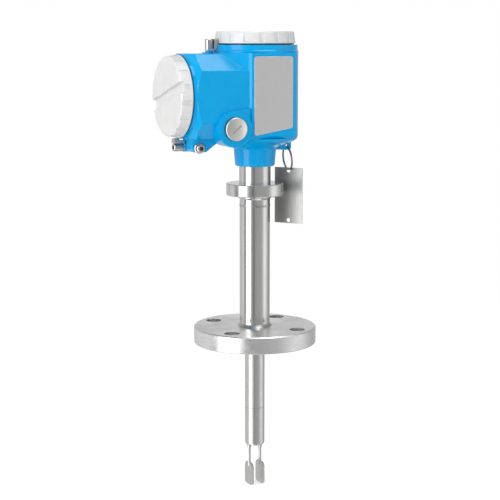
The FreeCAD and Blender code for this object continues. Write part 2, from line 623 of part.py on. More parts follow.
def cast_bosses(body):
    for side, start in (("front", "entry_face - entry_boss_length"), ("rear", "-entry_face")):
        boss = new_sketch(body, f"{side}_boss", "XZ_Plane", offset=start)
        add_circle(boss, "-entry_x", "entry_height", "entry_boss_dia / 2")
        extrude(body, f"{side}_boss", boss, "entry_boss_length")
        brow = new_sketch(body, f"{side}_brow", "XZ_Plane", offset=start)
        add_outline(brow, [
            ("-entry_x", "entry_height"), ("-platform_half", "entry_height"),
            ("-platform_half", "entry_height + entry_boss_dia / 2 + 1.6"), ("-entry_x", "entry_height + entry_boss_dia / 2 - 0.1"),
        ])
        extrude(body, f"{side}_brow", brow, "entry_boss_length - 1")
    stem = new_sketch(body, "clamp_stem", "XY_Plane", offset="side_axis + side_half - 3")
    add_circle(stem, "-(cover_lip_dia / 2 + clamp_offset)", "0", "clamp_stem_dia / 2")
    extrude(body, "clamp_stem", stem, "clamp_seat_top - side_axis - side_half + 3")
    seat = new_sketch(body, "side_clamp_boss", "YZ_Plane", offset="-clamp_seat_side")
    add_circle(seat, "0", "side_axis - cover_lip_dia / 2 - clamp_offset", "clamp_stem_dia / 2 + 0.8")
    extrude(body, "side_clamp_boss", seat, "12")
    web = new_sketch(body, "web", "XZ_Plane", offset="-clamp_stem_dia / 2 - 0.8")
    low, high = "web_low", "side_axis - side_half + 4"
    add_outline(web, [
        ("-clamp_seat_side + 1", high), ("-clamp_seat_side + 1", f"{low} + 2"), ("-clamp_seat_side + 3", low),
        ("-ground_x + 8", low), ("-entry_x - 8", f"{high} - 7"), ("-entry_x - 4", high),
    ])
    extrude(body, "web", web, "web_front + clamp_stem_dia / 2 + 0.8")
    lug = new_sketch(body, "lug", "XZ_Plane")
    add_outline(lug, [
        ("neck_top_dia / 2 - 2", "lug_low + 1"), ("lug_reach - 2", "lug_low"), ("lug_reach", "lug_low + 2"),
        ("lug_reach", "barrel_low + 1"), ("neck_top_dia / 2 - 2", "barrel_low + 1"),
    ])
    extrude(body, "lug", lug, "lug_thick", both=True)


def cast_inside(body):
    turn(body, "electronics_bore", [
        ("0", "floor_height"), ("cavity_dia / 2", "floor_height"),
        ("cavity_dia / 2", "barrel_top - thread_bore_depth"), ("thread_bore_dia / 2", "barrel_top - thread_bore_depth"),
        ("thread_bore_dia / 2", "barrel_top + 1"), ("0", "barrel_top + 1"),
    ], cut=True)
    turn(body, "neck_socket", [
        ("0", "neck_low - 1"), ("stub_dia / 2 + snug_gap", "neck_low - 1"),
        ("stub_dia / 2 + snug_gap", "neck_low + socket_depth"), ("passage_dia / 2", "neck_low + socket_depth"),
        ("passage_dia / 2", "floor_height + 1"), ("0", "floor_height + 1"),
    ], cut=True)
    turn(body, "side_bore", [
        ("-partition", "0"), ("-partition", "cavity_dia / 2"),
        ("-side_face + thread_bore_depth", "cavity_dia / 2"), ("-side_face + thread_bore_depth", "thread_bore_dia / 2"),
        ("-side_face - 1", "thread_bore_dia / 2"), ("-side_face - 1", "0"),
    ], axis="H_Axis", shift_y="side_axis", cut=True)
    trough = new_sketch(body, "trough", "XY_Plane", offset="side_axis - 14")
    reach, inner = "(entry_face - entry_bore_depth + fit_gap)", "20"
    add_outline(trough, [
        ("-entry_x - 13.5", f"-({reach})"), ("-entry_x + 4", f"-({reach})"), ("-entry_x + 4", f"-{inner}"),
        ("-partition", f"-{inner}"), ("-partition", inner), ("-entry_x + 4", inner),
        ("-entry_x + 4", reach), ("-entry_x - 13.5", reach),
    ])
    extrude(body, "trough", trough, "side_axis - 14 - floor_height", cut=True)
    for side, start, against in (("front", "entry_face + 1", False), ("rear", "-entry_face - 1", True)):
        entry = new_sketch(body, f"{side}_entry", "XZ_Plane", offset=start)
        add_circle(entry, "-entry_x", "entry_height", "plug_thread_dia / 2")
        extrude(body, f"{side}_entry", entry, "entry_bore_depth + 1", cut=True, against=against)


def drill(body, what, role, offset, across, along, radius, depth, against=False):
    hole = new_sketch(body, what, role, offset=offset)
    add_circle(hole, across, along, radius)
    extrude(body, what, hole, depth, cut=True, against=against)


def cast_holes(body):
    screw = "claw_screw_dia / 2"
    drill(body, "top_clamp_relief", "XY_Plane", "barrel_top + 1", "-(cover_lip_dia / 2 + clamp_offset)", "0",
          "clamp_relief", "barrel_top + 1 - clamp_seat_top")
    drill(body, "top_clamp_hole", "XY_Plane", "clamp_seat_top + 1", "-(cover_lip_dia / 2 + clamp_offset)", "0", screw, "8")
    drill(body, "side_clamp_hole", "YZ_Plane", "-clamp_seat_side - 1", "0",
          "side_axis - cover_lip_dia / 2 - clamp_offset", screw, "11", against=True)
    drill(body, "ground_hole", "XZ_Plane", "web_front + 1", "-ground_x", "ground_height", "2", "12")
    drill(body, "lug_hole", "XZ_Plane", "lug_thick", "lug_hole_x", "lug_hole_height", "lug_hole_dia / 2", "lug_thick * 2")
    drill(body, "lock_hole", "XZ_Plane", "-neck_top_dia / 2 - 1", "0", "stub_groove_height", "2.6", "8", against=True)
    drill(body, "partition_hole", "YZ_Plane", "-partition - 1", "0", "feed_height", "feed_dia / 2 + snug_gap", "12", against=True)
    drill(body, "inner_ground_hole", "YZ_Plane", "-partition - 1", "inner_ground_y", "side_axis - 8", "2", "5", against=True)
    for name, sign in (("front", "-"), ("rear", "")):
        drill(body, f"insert_{name}_hole", "XY_Plane", "floor_height + 1", "0",
              f"{sign}insert_screw_circle / 2", "insert_screw_dia / 2", "7")


def make_casting():
    """The housing: both compartments, the neck, the entry bosses and the lug are one casting."""
    body = new_body("housing_casting")
    cast_outside(body)
    cast_bosses(body)
    cast_inside(body)
    cast_holes(body)


def make_cover(label):
    """A screwed cover, drawn with its seat at height 0 and its face up."""
    body = new_body(label)
    skirt = "cover_skirt_dia / 2"
    turn(body, "cup", [
        ("0", "cover_ceiling"), (f"{skirt} - cover_skirt_wall", "cover_ceiling"),
        (f"{skirt} - cover_skirt_wall", "-cover_skirt_length"), (skirt, "-cover_skirt_length"), (skirt, "0"),
        ("cover_lip_dia / 2", "0"), ("cover_lip_dia / 2", "cover_lip_height"),
        ("cover_grip_dia / 2", "cover_lip_height"), ("cover_face_dia / 2", "cover_height - cover_edge"),
        ("cover_face_dia / 2 - cover_edge", "cover_height"), ("0", "cover_height"),
    ])
    notch = new_sketch(body, "notch", "XY_Plane", offset="cover_height + 1")
    inner, outer = "cover_face_dia / 2 - cover_notch_depth", "cover_lip_dia / 2 + 2"
    half = "cover_notch_width / 2"
    add_outline(notch, [
        (inner, f"-{half} + 1.4"), (outer, f"-{half}"), (outer, half), (inner, f"{half} - 1.4"),
    ])
    cut = extrude(body, "notch", notch, "cover_height + 1 - cover_lip_height", cut=True)
    pattern_round(body, "notches", cut, "cover_notches")
    slot = new_sketch(body, "slot", "XY_Plane", offset="cover_height + 1")
    add_outline(slot, [
        ("-cover_lip_dia", "-cover_slot_width / 2"), ("cover_lip_dia", "-cover_slot_width / 2"),
        ("cover_lip_dia", "cover_slot_width / 2"), ("-cover_lip_dia", "cover_slot_width / 2"),
    ])
    extrude(body, "slot", slot, "cover_slot_depth + 1", cut=True)
    return body


def make_cover_seal(label):
    body = new_body(label)
    inner, outer = "cover_skirt_dia / 2 + seal_gap", "cover_skirt_dia / 2 + seal_gap + seal_width"
    low, high = "-seal_gap - seal_height", "-seal_gap"
    turn(body, "section", [
        (f"{inner} + 0.2", low), (f"{outer} - 0.2", low), (outer, f"{low} + 0.2"), (outer, f"{high} - 0.2"),
        (f"{outer} - 0.2", high), (f"{inner} + 0.2", high), (inner, f"{high} - 0.2"), (inner, f"{low} + 0.2"),
    ])
    return body


def make_claw(label):
    """A cover clamp's claw, drawn with its screw on the Z axis, its foot at height 0 and the cover at +X."""
    body = new_body(label)
    foot = new_sketch(body, "foot", "XY_Plane")
    add_circle(foot, "0", "0", "claw_screw_head / 2 + 0.2")
    extrude(body, "foot", foot, "claw_foot")
    near, half, low = "claw_screw_head / 2 + snug_gap * 2", "claw_width / 2", "claw_low_reach"
    arm = new_sketch(body, "arm", "XY_Plane")
    add_outline(arm, [("0", f"-{half}"), (low, f"-{half}"), (low, half), ("0", half)])
    extrude(body, "arm", arm, "claw_foot")
    upright = new_sketch(body, "upright", "XY_Plane")
    add_outline(upright, [(near, f"-{half}"), (low, f"-{half}"), (low, half), (near, half)])
    extrude(body, "upright", upright, "claw_height")
    reach = "clamp_offset - claw_clear"
    beak = new_sketch(body, "beak", "XY_Plane", offset="claw_step")
    add_outline(beak, [(near, f"-{half}"), (f"{reach} - 1.2", f"-{half}"), (reach, f"-{half} + 2.8"),
                       (reach, f"{half} - 2.8"), (f"{reach} - 1.2", half), (near, half)])
    extrude(body, "beak", beak, "claw_height - claw_step")
    drill(body, "screw_hole", "XY_Plane", "claw_foot + 1", "0", "0", "claw_screw_dia / 2 + fit_gap", "claw_foot + 3")
    return body


def make_socket_screw(label, head, head_height, shank, length, across="socket_across"):
    """A socket screw, drawn with its head's underside at height 0 and its head up."""
    body = new_body(label)
    turn(body, "profile", [
        ("0", f"-({length})"), (f"{shank} / 2", f"-({length})"), (f"{shank} / 2", "0"), (f"{head} / 2", "0"),
        (f"{head} / 2", f"{head_height} - 0.5"), (f"{head} / 2 - 0.5", head_height), ("0", head_height),
    ])
    socket = new_sketch(body, "socket", "XY_Plane", offset=f"{head_height} + 1")
    corners = [(f"{across} / 2 / cos(30) * cos({60 * k})", f"{across} / 2 / cos(30) * sin({60 * k})") for k in range(6)]
    add_outline(socket, corners)
    extrude(body, "socket", socket, f"({head_height}) * 0.55 + 1", cut=True)
    return body


def make_top_closure():
    seat = "barrel_top + seal_gap * 2 + seal_height"
    place(make_cover("top_cover"), height=seat, rotation=Rotation(Vector(0, 0, 1), size("top_cover_angle")))
    place(make_cover_seal("top_cover_seal"), height=seat)
    where = "-(cover_lip_dia / 2 + clamp_offset)"
    place(make_claw("top_clamp_claw"), where, "0", "clamp_seat_top + fit_gap")
    screw = make_socket_screw("top_clamp_screw", "claw_screw_head", "claw_screw_height", "(claw_screw_dia - 0.1)",
                              "claw_foot + fit_gap * 2 + 6")
    place(screw, where, "0", "clamp_seat_top + claw_foot + fit_gap * 2")


def make_side_closure():
    seat = "-(side_face + seal_gap * 2 + seal_height)"
    outward = Rotation(Vector(0, 1, 0), -90)
    slot_turn = Rotation(Vector(1, 0, 0), -90 + size("side_cover_angle"))
    place(make_cover("side_cover"), seat, "0", "side_axis", slot_turn.multiply(outward))
    place(make_cover_seal("side_cover_seal"), seat, "0", "side_axis", outward)
    where = "side_axis - cover_lip_dia / 2 - clamp_offset"
    place(make_claw("side_clamp_claw"), "-clamp_seat_side - fit_gap", "0", where, outward)
    screw = make_socket_screw("side_clamp_screw", "claw_screw_head", "claw_screw_height", "(claw_screw_dia - 0.1)",
                              "claw_foot + fit_gap * 2 + 9")
    place(screw, "-(clamp_seat_side + claw_foot + fit_gap * 2)", "0", where, outward)


FRONTWARD = Rotation(Vector(1, 0, 0), 90)
REARWARD = Rotation(Vector(1, 0, 0), -90)


def make_plug(side, face, outward, turned):
    """A blind plug in a cable entry, with its sealing ring."""
    body = new_body(f"{side}_blind_plug")
    thread = "plug_thread_dia / 2 - snug_gap"
    turn(body, "profile", [
        ("0", "-plug_thread_length"), (f"{thread} - 1", "-plug_thread_length"), (thread, "-plug_thread_length + 1"),
        (thread, "0"), ("plug_head_dia / 2", "0"), ("plug_head_dia / 2", "plug_head - 0.6"),
        ("plug_head_dia / 2 - 0.6", "plug_head"), ("0", "plug_head"),
    ])
    slot = new_sketch(body, "slot", "XY_Plane", offset="plug_head + 1")
    reach, half = "plug_slot_length / 2", "plug_slot / 2"
    add_outline(slot, [(f"-{reach}", f"-{half}"), (reach, f"-{half}"), (reach, half), (f"-{reach}", half)])
    extrude(body, "slot", slot, "plug_head * 0.6 + 1", cut=True)
    place(body, "-entry_x", f"{face} * (entry_face + plug_seal)", "entry_height",
          outward.multiply(Rotation(Vector(0, 0, 1), turned)))
    seal = new_body(f"{side}_plug_seal")
    inner, outer = "plug_thread_dia / 2 + 0.1", "plug_head_dia / 2 + 0.2"
    turn(seal, "section", [(inner, "0"), (outer, "0"), (outer, "plug_seal"), (inner, "plug_seal")])
    place(seal, "-entry_x", f"{face} * entry_face", "entry_height", outward)


def make_nameplate():
    body = new_body("nameplate")
    half = "plate_width / 2"
    sketch = new_sketch(body, "sheet", "XZ_Plane", offset="platform_front")
    add_outline(sketch, [(f"-{half}", "plate_low_left"), (half, "plate_low_right"),
                         (half, "plate_top"), (f"-{half}", "plate_top")])
    extrude(body, "sheet", sketch, "plate_thick")
    soften(body, "Fillet", "corners",
           lambda edge: len(edge.Vertexes) == 2 and abs(abs((edge.Vertexes[1].Point - edge.Vertexes[0].Point).y)
                                                        - edge.Length) < 0.001, "plate_corner")


def make_ground_terminal():
    body = new_body("ground_clamp")
    rim, high = "ground_washer_dia / 2", "ground_washer"
    turn(body, "washer", [
        ("2.2", "0"), (f"{rim} - 0.4", "0"), (rim, "0.4"), (rim, f"{high} - 0.6"), (f"{rim} - 0.6", high), ("2.2", high),
    ])
    place(body, "-ground_x", "-web_front", "ground_height", FRONTWARD)
    screw = make_socket_screw("ground_screw", "ground_screw_head", "ground_screw_height", "3.8", "11")
    place(screw, "-ground_x", "-web_front - ground_washer", "ground_height", FRONTWARD)


def make_lock_screw():
    """The screw that locks the housing on the stub. Its tip runs in the stub's groove."""
    body = new_body("neck_lock_screw")
    tip = "stub_dia / 2 - stub_groove_depth + fit_gap"
    turn(body, "profile", [
        ("0", tip), ("1.6", tip), ("2.4", f"{tip} + 0.8"), ("2.4", "neck_low_dia / 2 - 0.4"), ("0", "neck_low_dia / 2 - 0.4"),
    ])
    socket = new_sketch(body, "socket", "XY_Plane", offset="neck_low_dia / 2")
    add_outline(socket, [(f"1.45 * cos({60 * k})", f"1.45 * sin({60 * k})") for k in range(6)])
    extrude(body, "socket", socket, "2.4", cut=True)
    place(body, "0", "0", "stub_groove_height", REARWARD)


def make_insert():
    """The electronics insert with its two screws, setting switches and status lamps."""
    body = new_body("electronics_insert")
    shell, face = "cavity_dia / 2 - fit_gap", "insert_top - insert_recess"
    turn(body, "cup", [
        ("passage_dia / 2", "floor_height"), (shell, "floor_height"), (shell, "insert_top"),
        (f"{shell} - insert_rim", "insert_top"), (f"{shell} - insert_rim", face), ("0", face),
        ("0", "floor_height + 8"), ("passage_dia / 2", "floor_height + 8"),
    ])
    for name, sign in (("front", "-"), ("rear", "")):
        drill(body, f"{name}_screw_hole", "XY_Plane", "insert_top + 1", "0", f"{sign}insert_screw_circle / 2",
              "insert_screw_dia / 2 + 0.2", "insert_top - floor_height + 3")
    pieces = []
    for name, sign in (("front", "-"), ("rear", "")):
        spot = ("0", f"{sign}insert_screw_circle / 2")
        pieces.append(primitive("Cylinder", f"insert_screw_{name}", *spot, "floor_height - 5",
                                Radius="insert_screw_dia / 2 - 0.05", Height=f"{face} - floor_height + 6"))
        pieces.append(primitive("Cylinder", f"insert_head_{name}", *spot, face,
                                Radius="insert_screw_head / 2", Height="2.6"))
    slots = [primitive("Box", f"insert_slot_{name}", "-5", f"{sign}insert_screw_circle / 2 - 0.5", f"{face} + 1.4",
                       Length="10", Width="1", Height="3") for name, sign in (("front", "-"), ("rear", ""))]
    keep(without("insert_screws", joined("insert_screw_bodies", pieces), joined("insert_screw_slots", slots)), "insert_screws")
    lamps = []
    for k in (-1, 0, 1):
        lamps.append(primitive("Cylinder", f"lamp_{k + 2}", f"{k} * led_spacing", "switch_block_y", face,
                               Radius="led_dia / 2", Height="led_height - led_dia / 2"))
        lamps.append(primitive("Sphere", f"lamp_dome_{k + 2}", f"{k} * led_spacing", "switch_block_y",
                               f"{face} + led_height - led_dia / 2", Radius="led_dia / 2"))
    floor_cut = primitive("Box", "lamp_trim", "-50", "-50", f"{face} - 5", Length="100", Width="100", Height="5")
    keep(without("status_lamps", joined("lamp_bodies", lamps), floor_cut), "status_lamps")


def make_switches():
    face, half = "insert_top - insert_recess", "switch_block_width / 2"
    body = new_body("switch_block")
    sketch = new_sketch(body, "block", "XY_Plane", offset=face)
    low, high = "-switch_block_y - switch_block_depth / 2", "-switch_block_y + switch_block_depth / 2"
    add_outline(sketch, [(f"-{half}", low), (half, low), (half, high), (f"-{half}", high)])
    extrude(body, "block", sketch, "switch_block_height")
    for name, sign in (("left", "-"), ("right", "")):
        slot = new_sketch(body, f"{name}_slot", "XY_Plane", offset=f"{face} + switch_block_height")
        middle, side, run = f"{sign}switch_spacing / 2", "(switch_width / 2 + fit_gap)", "(switch_width + switch_travel) / 2 + fit_gap"
        add_outline(slot, [(f"{middle} - {side}", f"-switch_block_y - ({run})"), (f"{middle} + {side}", f"-switch_block_y - ({run})"),
                           (f"{middle} + {side}", f"-switch_block_y + {run}"), (f"{middle} - {side}", f"-switch_block_y + {run}")])
        extrude(body, f"{name}_slot", slot, "switch_height - 1", cut=True)
        slider = primitive("Box", f"switch_slider_{name}", f"{middle} - switch_width / 2",
                           "-switch_block_y - switch_travel / 2 - switch_width / 2",
                           f"{face} + switch_block_height - switch_height + 1 + fit_gap",
                           Length="switch_width", Width="switch_width", Height="switch_height")
        keep(slider, f"switch_slider_{name}")


def make_terminals():
    """The terminal block, its screws, the bushing through the partition and the inner ground screw."""
    body = new_body("terminal_block")
    sketch = new_sketch(body, "block", "XY_Plane")
    half_w, half_h = "terminal_width / 2", "terminal_height / 2"
    add_outline(sketch, [(f"-{half_h}", f"-{half_w}"), (half_h, f"-{half_w}"), (half_h, half_w), (f"-{half_h}", half_w)])
    extrude(body, "block", sketch, "terminal_depth")
    well = new_sketch(body, "well", "XY_Plane", offset="terminal_depth + 1")
    add_circle(well, "3", "-(terminal_count - 1) / 2 * terminal_pitch", "terminal_screw_dia / 2 + 0.3")
    first = extrude(body, "well", well, "4", cut=True)
    row = body.newObject("PartDesign::LinearPattern", "terminal_block_wells")
    row.Originals = [first]
    row.Direction = (origin_feature(body, "Y_Axis"), [""])
    row.setExpression("Length", sized("(terminal_count - 1) * terminal_pitch"))
    row.setExpression("Occurrences", sized("terminal_count"))
    body.Tip = row
    doc.recompute()
    outward = Rotation(Vector(0, 1, 0), -90)
    place(body, "-partition", "0", "side_axis", outward)
    screws = []
    for k in range(int(size("terminal_count"))):
        screws.append(primitive("Cylinder", f"terminal_screw_{k + 1}", "-partition - terminal_depth + 3",
                                f"({k} - (terminal_count - 1) / 2) * terminal_pitch", "side_axis + 3", outward,
                                Radius="terminal_screw_dia / 2", Height="2.2"))
    keep(joined("terminal_screws", screws), "terminal_screws")
    bush = new_body("partition_bushing")
    turn(bush, "profile", [
        ("0", "-5"), ("feed_dia / 2", "-5"), ("feed_dia / 2", "0"), ("feed_head_dia / 2", "0"),
        ("feed_head_dia / 2", "3"), ("feed_head_dia / 2 - 1", "4"), ("0", "4"),
    ])
    place(bush, "-partition", "0", "feed_height", outward)
    screw = make_socket_screw("inner_ground_screw", "7", "3", "3.8", "3.6", across="3")
    place(screw, "-partition", "inner_ground_y", "side_axis - 8", outward)


def make_tag():
    """The wire ring through the lug's hole and the bare tag plate on it."""
    reach = "(tag_ring_dia / 2 + lug_hole_dia / 2 - tag_wire - fit_gap * 2)"
    twist = Rotation(Vector(0, 0, 1), size("tag_ring_angle"))
    ring = primitive("Torus", "tag_ring", f"lug_hole_x + {reach} * sin(tag_tilt_angle) * cos(tag_ring_angle)",
                     f"{reach} * sin(tag_tilt_angle) * sin(tag_ring_angle)",
                     f"lug_hole_height - {reach} * cos(tag_tilt_angle)",
                     twist.multiply(Rotation(Vector(0, 1, 0), 90 - size("tag_tilt_angle"))),
                     Radius1="tag_ring_dia / 2 - tag_wire / 2", Radius2="tag_wire / 2")
    keep(ring, "tag_ring")
    body = new_body("tag_plate")
    half = "tag_width / 2"
    top = "tag_hole_inset"
    sketch = new_sketch(body, "sheet", "XZ_Plane", offset="-tag_thick / 2")
    add_outline(sketch, [(f"-{half}", f"{top} - tag_length"), (half, f"{top} - tag_length"), (half, top), (f"-{half}", top)])
    extrude(body, "sheet", sketch, "tag_thick")
    drill(body, "upper_hole", "XZ_Plane", "2", "0", "0", "tag_hole_dia / 2", "4")
    drill(body, "lower_hole", "XZ_Plane", "2", "0", "tag_hole_inset * 2 - tag_length", "tag_hole_dia / 2", "4")
    hang = f"({reach} + tag_ring_dia / 2 - tag_wire / 2)"
    place(body, f"lug_hole_x + {hang} * sin(tag_tilt_angle) * cos(tag_ring_angle)",
          f"{hang} * sin(tag_tilt_angle) * sin(tag_ring_angle)",
          f"lug_hole_height - {hang} * cos(tag_tilt_angle) + tag_wire / 2 + fit_gap * 2 - tag_hole_dia / 2",
          Rotation(Vector(0, 0, 1), size("tag_angle")))


def check_and_write():
    doc.recompute()
    for item in doc.Objects:
        if "Invalid" in item.State or "Error" in item.State:
            raise RuntimeError(f"{item.Label} is not built: {item.State}")
    os.makedirs("parts", exist_ok=True)
    for piece in parts:
        if piece.Shape.isNull() or not piece.Shape.isValid() or not piece.Shape.Solids:
            raise RuntimeError(f"{piece.Label} has no valid solid")
        piece.Shape.exportStep(f"parts/{piece.Label}.step")
        box = piece.Shape.BoundBox
        print(f"{piece.Label:22s} {len(piece.Shape.Solids)} solid  {piece.Shape.Volume:10.1f} mm3  "
              f"x {box.XMin:7.1f} {box.XMax:7.1f}  y {box.YMin:7.1f} {box.YMax:7.1f}  z {box.ZMin:7.1f} {box.ZMax:7.1f}")


def main():
    fill_sheet()
    make_flange()
    make_seat_weld()
    make_extension_tube()
    make_collar()
    make_neck_o_ring()
    make_probe_tube()
    make_fork()
    make_drive()
    make_lead()
    make_casting()
    make_top_closure()
    make_side_closure()
    make_plug("front", "-1", FRONTWARD, size("plug_slot_angle"))
    make_plug("rear", "1", REARWARD, size("rear_slot_angle"))
    make_nameplate()
    make_ground_terminal()
    make_lock_screw()
    make_insert()
    make_switches()
    make_terminals()
    make_tag()
    check_and_write()


main()
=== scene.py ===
"""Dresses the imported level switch: finishes for every piece, small formed pieces, and a white studio."""

import math

import bmesh
import bpy
from bpy.props import FloatProperty, FloatVectorProperty, IntProperty, PointerProperty
from mathutils import Matrix, Quaternion, Vector


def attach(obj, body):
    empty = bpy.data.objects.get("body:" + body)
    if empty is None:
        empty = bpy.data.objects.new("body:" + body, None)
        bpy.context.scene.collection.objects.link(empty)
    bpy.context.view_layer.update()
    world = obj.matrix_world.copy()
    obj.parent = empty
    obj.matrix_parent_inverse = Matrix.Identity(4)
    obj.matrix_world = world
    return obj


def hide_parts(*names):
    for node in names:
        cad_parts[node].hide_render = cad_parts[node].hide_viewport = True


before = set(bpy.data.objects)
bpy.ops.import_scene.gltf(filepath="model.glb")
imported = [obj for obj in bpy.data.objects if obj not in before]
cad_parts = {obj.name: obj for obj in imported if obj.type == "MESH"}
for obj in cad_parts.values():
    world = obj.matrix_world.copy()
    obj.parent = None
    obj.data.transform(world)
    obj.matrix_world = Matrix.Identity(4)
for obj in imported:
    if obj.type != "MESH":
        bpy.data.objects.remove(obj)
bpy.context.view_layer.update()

bl_info = {
    "name": "Level switch dressing",
    "version": (1, 0, 0),
    "blender": (4, 5, 0),
    "location": "View3D > Sidebar > Level switch",
    "description": "Builds the looks of a flanged tuning fork level switch round its packed model",
    "category": "Object",
}

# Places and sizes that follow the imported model. Lengths are in metres.
FRONT_PLUG_MIDDLE = (-0.0423, 0, 0.2267)
COLLAR_WELD_HEIGHT, COLLAR_WELD_RADIUS = 0.145, 0.0157
FORK_WELD_HEIGHT, FORK_WELD_RADIUS = -0.068, 0.01005
TOP_THREAD_MIDDLE, SIDE_THREAD_MIDDLE = (0, 0, 0.3043), (-0.0792, 0, 0.2577)
TAG_RING_LEAN, TAG_RING_TWIST = math.radians(83.6), math.radians(-6.0)

# Small forms that only the looks have. Lengths are in metres.
PLUG_DOME_RISE, PLUG_DOME_RADIUS = 0.0016, 0.0116
PLUG_EDGE_ROUND, PLATE_EDGE_ROUND = 0.0004, 0.00025
WELD_PROUD, WELD_SUNK = 0.00022, 0.00005
THREAD_RIDGE, THREAD_SUNK, THREAD_TURNS = 0.0005, 0.0001, 5
TAG_RING_TURNS, TAG_RING_CLOSENESS = 2.05, 0.93

# What counts as one point and as one flat face when a CAD mesh is copied.
SAME_POINT, SAME_FACE = 2e-6, math.radians(1.2)

# The camera that was fitted to the photograph.
CAMERA_DISTANCE, CAMERA_HEIGHT = 1.42004, 0.31684
CAMERA_AZIMUTH, CAMERA_YAW, CAMERA_PITCH = math.radians(-25.0), math.radians(0.1995), math.radians(8.759)

# The studio. Each band is a direction and its brightness. The direction is in degrees from the one toward the
# camera, counter-clockwise as seen from above.
STUDIO_BANDS = ((-180, 0.75), (-136, 0.68), (-119, 0.66), (-105, 0.85), (-94, 0.85), (-86, 0.5), (-77, 0.3),
                (-71, 0.5), (-66, 0.7), (-60, 3.3), (-38, 3.3), (-31, 0.9), (-22, 0.45), (-6, 0.2), (3, 0.42),
                (30, 0.47), (56, 0.5), (66, 0.8), (76, 1.15), (90, 1.1), (104, 0.75), (118, 0.48), (136, 0.4),
                (160, 0.6))
STUDIO_TOWARD_CAMERA = -115.0
STUDIO_LID = 0.3
FLOOR_SIZE, FLOOR_COLOUR, FLOOR_GLOW = 0.8, (0.9, 0.9, 0.9), 0.55

# The lamps: what they look at, where they stand, their sizes and how the overhead one is turned.
LAMP_AIM = (0, 0, 0.2)
KEY_SPOT, LOW_SPOT, TOP_SPOT = (-1.6, -0.9, 1.3), (-0.8, -1.7, 0.02), (0.186, -0.217, 1.25)
KEY_SIZE, LOW_SIZE, TOP_SIZE = (1.3, 0.5), (1.4, 0.3), (0.5, 0.8)
TOP_TURN = math.radians(40.9)


class HousingSizes(bpy.types.PropertyGroup):
    edge_round: FloatProperty(name="Edge round", description="Round on the casting's edges", default=0.0009,
                              unit="LENGTH")
    paint: FloatVectorProperty(name="Paint", description="Colour of the casting", subtype="COLOR", size=3,
                               default=(0.0, 0.375, 0.765), min=0, max=1)
    peel: FloatProperty(name="Orange peel", description="Strength of the powder coat's fine unevenness",
                        default=0.02)


class CoverSizes(bpy.types.PropertyGroup):
    edge_round: FloatProperty(name="Edge round", description="Round on the covers' edges", default=0.0011,
                              unit="LENGTH")
    paint: FloatVectorProperty(name="Paint", description="Colour of the covers", subtype="COLOR", size=3,
                               default=(0.735, 0.735, 0.732), min=0, max=1)
    skirt_radius: FloatProperty(name="Skirt radius", description="Radius of the covers' threaded skirt",
                                default=0.0373, unit="LENGTH")
    thread_pitch: FloatProperty(name="Thread pitch", description="Pitch of the covers' thread",
                                default=0.0015, unit="LENGTH")


class SteelSizes(bpy.types.PropertyGroup):
    steel: FloatVectorProperty(name="Steel", description="Colour of the turned steel", subtype="COLOR",
                               size=3, default=(0.70, 0.697, 0.69), min=0, max=1)
    bead_width: FloatProperty(name="Weld bead", description="Width of the collar's girth weld",
                              default=0.0026, unit="LENGTH")
    ripples: IntProperty(name="Ripples", description="Ripples round a girth weld", default=72, min=12,
                         max=200)


class TagSizes(bpy.types.PropertyGroup):
    wire: FloatProperty(name="Wire", description="Thickness of the tag ring's wire", default=0.0011,
                        unit="LENGTH")
    outside: FloatProperty(name="Outside", description="Outside diameter of the tag ring", default=0.0254,
                           unit="LENGTH")


class StageSizes(bpy.types.PropertyGroup):
    lens: FloatProperty(name="Lens", description="Focal length of the camera in millimetres", default=100.0)
    floor_level: FloatProperty(name="Floor", description="Height of the floor", default=-0.1525,
                               unit="LENGTH")
    key_power: FloatProperty(name="Key light", description="Power of the large lamp at the left", default=6.0)
    low_power: FloatProperty(name="Low light", description="Power of the lamp in front, near the floor",
                             default=9.0)
    top_power: FloatProperty(name="Top light", description="Power of the lamp overhead", default=5.0)


GROUPS = {"housing": HousingSizes, "covers": CoverSizes, "steel": SteelSizes, "tag": TagSizes,
          "stage": StageSizes}


def sizes(name):
    return getattr(bpy.context.scene, f"level_switch_{name}")


# Shader nodes and groups that several finishes share.


def new_group(name):
    """An empty group that takes a place and gives a height for bump and a shade from 0 to 1."""
    group = bpy.data.node_groups.new(name, "ShaderNodeTree")
    group.interface.new_socket(name="Vector", in_out="INPUT", socket_type="NodeSocketVector")
    for label in ("Height", "Shade"):
        group.interface.new_socket(name=label, in_out="OUTPUT", socket_type="NodeSocketFloat")
    return group, group.nodes.new("NodeGroupInput"), group.nodes.new("NodeGroupOutput")


def link(tree, start, end):
    tree.links.new(start, end)


def noise(tree, vector, scale, detail=4.0, roughness=0.55):
    node = tree.nodes.new("ShaderNodeTexNoise")
    node.inputs["Scale"].default_value = scale
    node.inputs["Detail"].default_value = detail
    node.inputs["Roughness"].default_value = roughness
    link(tree, vector, node.inputs["Vector"])
    return node.outputs["Fac"]


def stretched(tree, vector, scale):
    node = tree.nodes.new("ShaderNodeMapping")
    node.inputs["Scale"].default_value = scale
    link(tree, vector, node.inputs["Vector"])
    return node.outputs["Vector"]


def ranged(tree, value, low, high, to_low, to_high):
    node = tree.nodes.new("ShaderNodeMapRange")
    node.inputs["From Min"].default_value = low
    node.inputs["From Max"].default_value = high
    node.inputs["To Min"].default_value = to_low
    node.inputs["To Max"].default_value = to_high
    link(tree, value, node.inputs["Value"])
    return node.outputs["Result"]


def joined(tree, kind, operation, *values):
    """A math node of the given kind. Each value is a number, a vector or the socket that it comes from."""
    node = tree.nodes.new(kind)
    node.operation = operation
    for socket, value in zip(node.inputs, values):
        if isinstance(value, bpy.types.NodeSocket):
            link(tree, value, socket)
        else:
            socket.default_value = value
    return node


def calculated(tree, operation, *values):
    return joined(tree, "ShaderNodeMath", operation, *values).outputs["Value"]


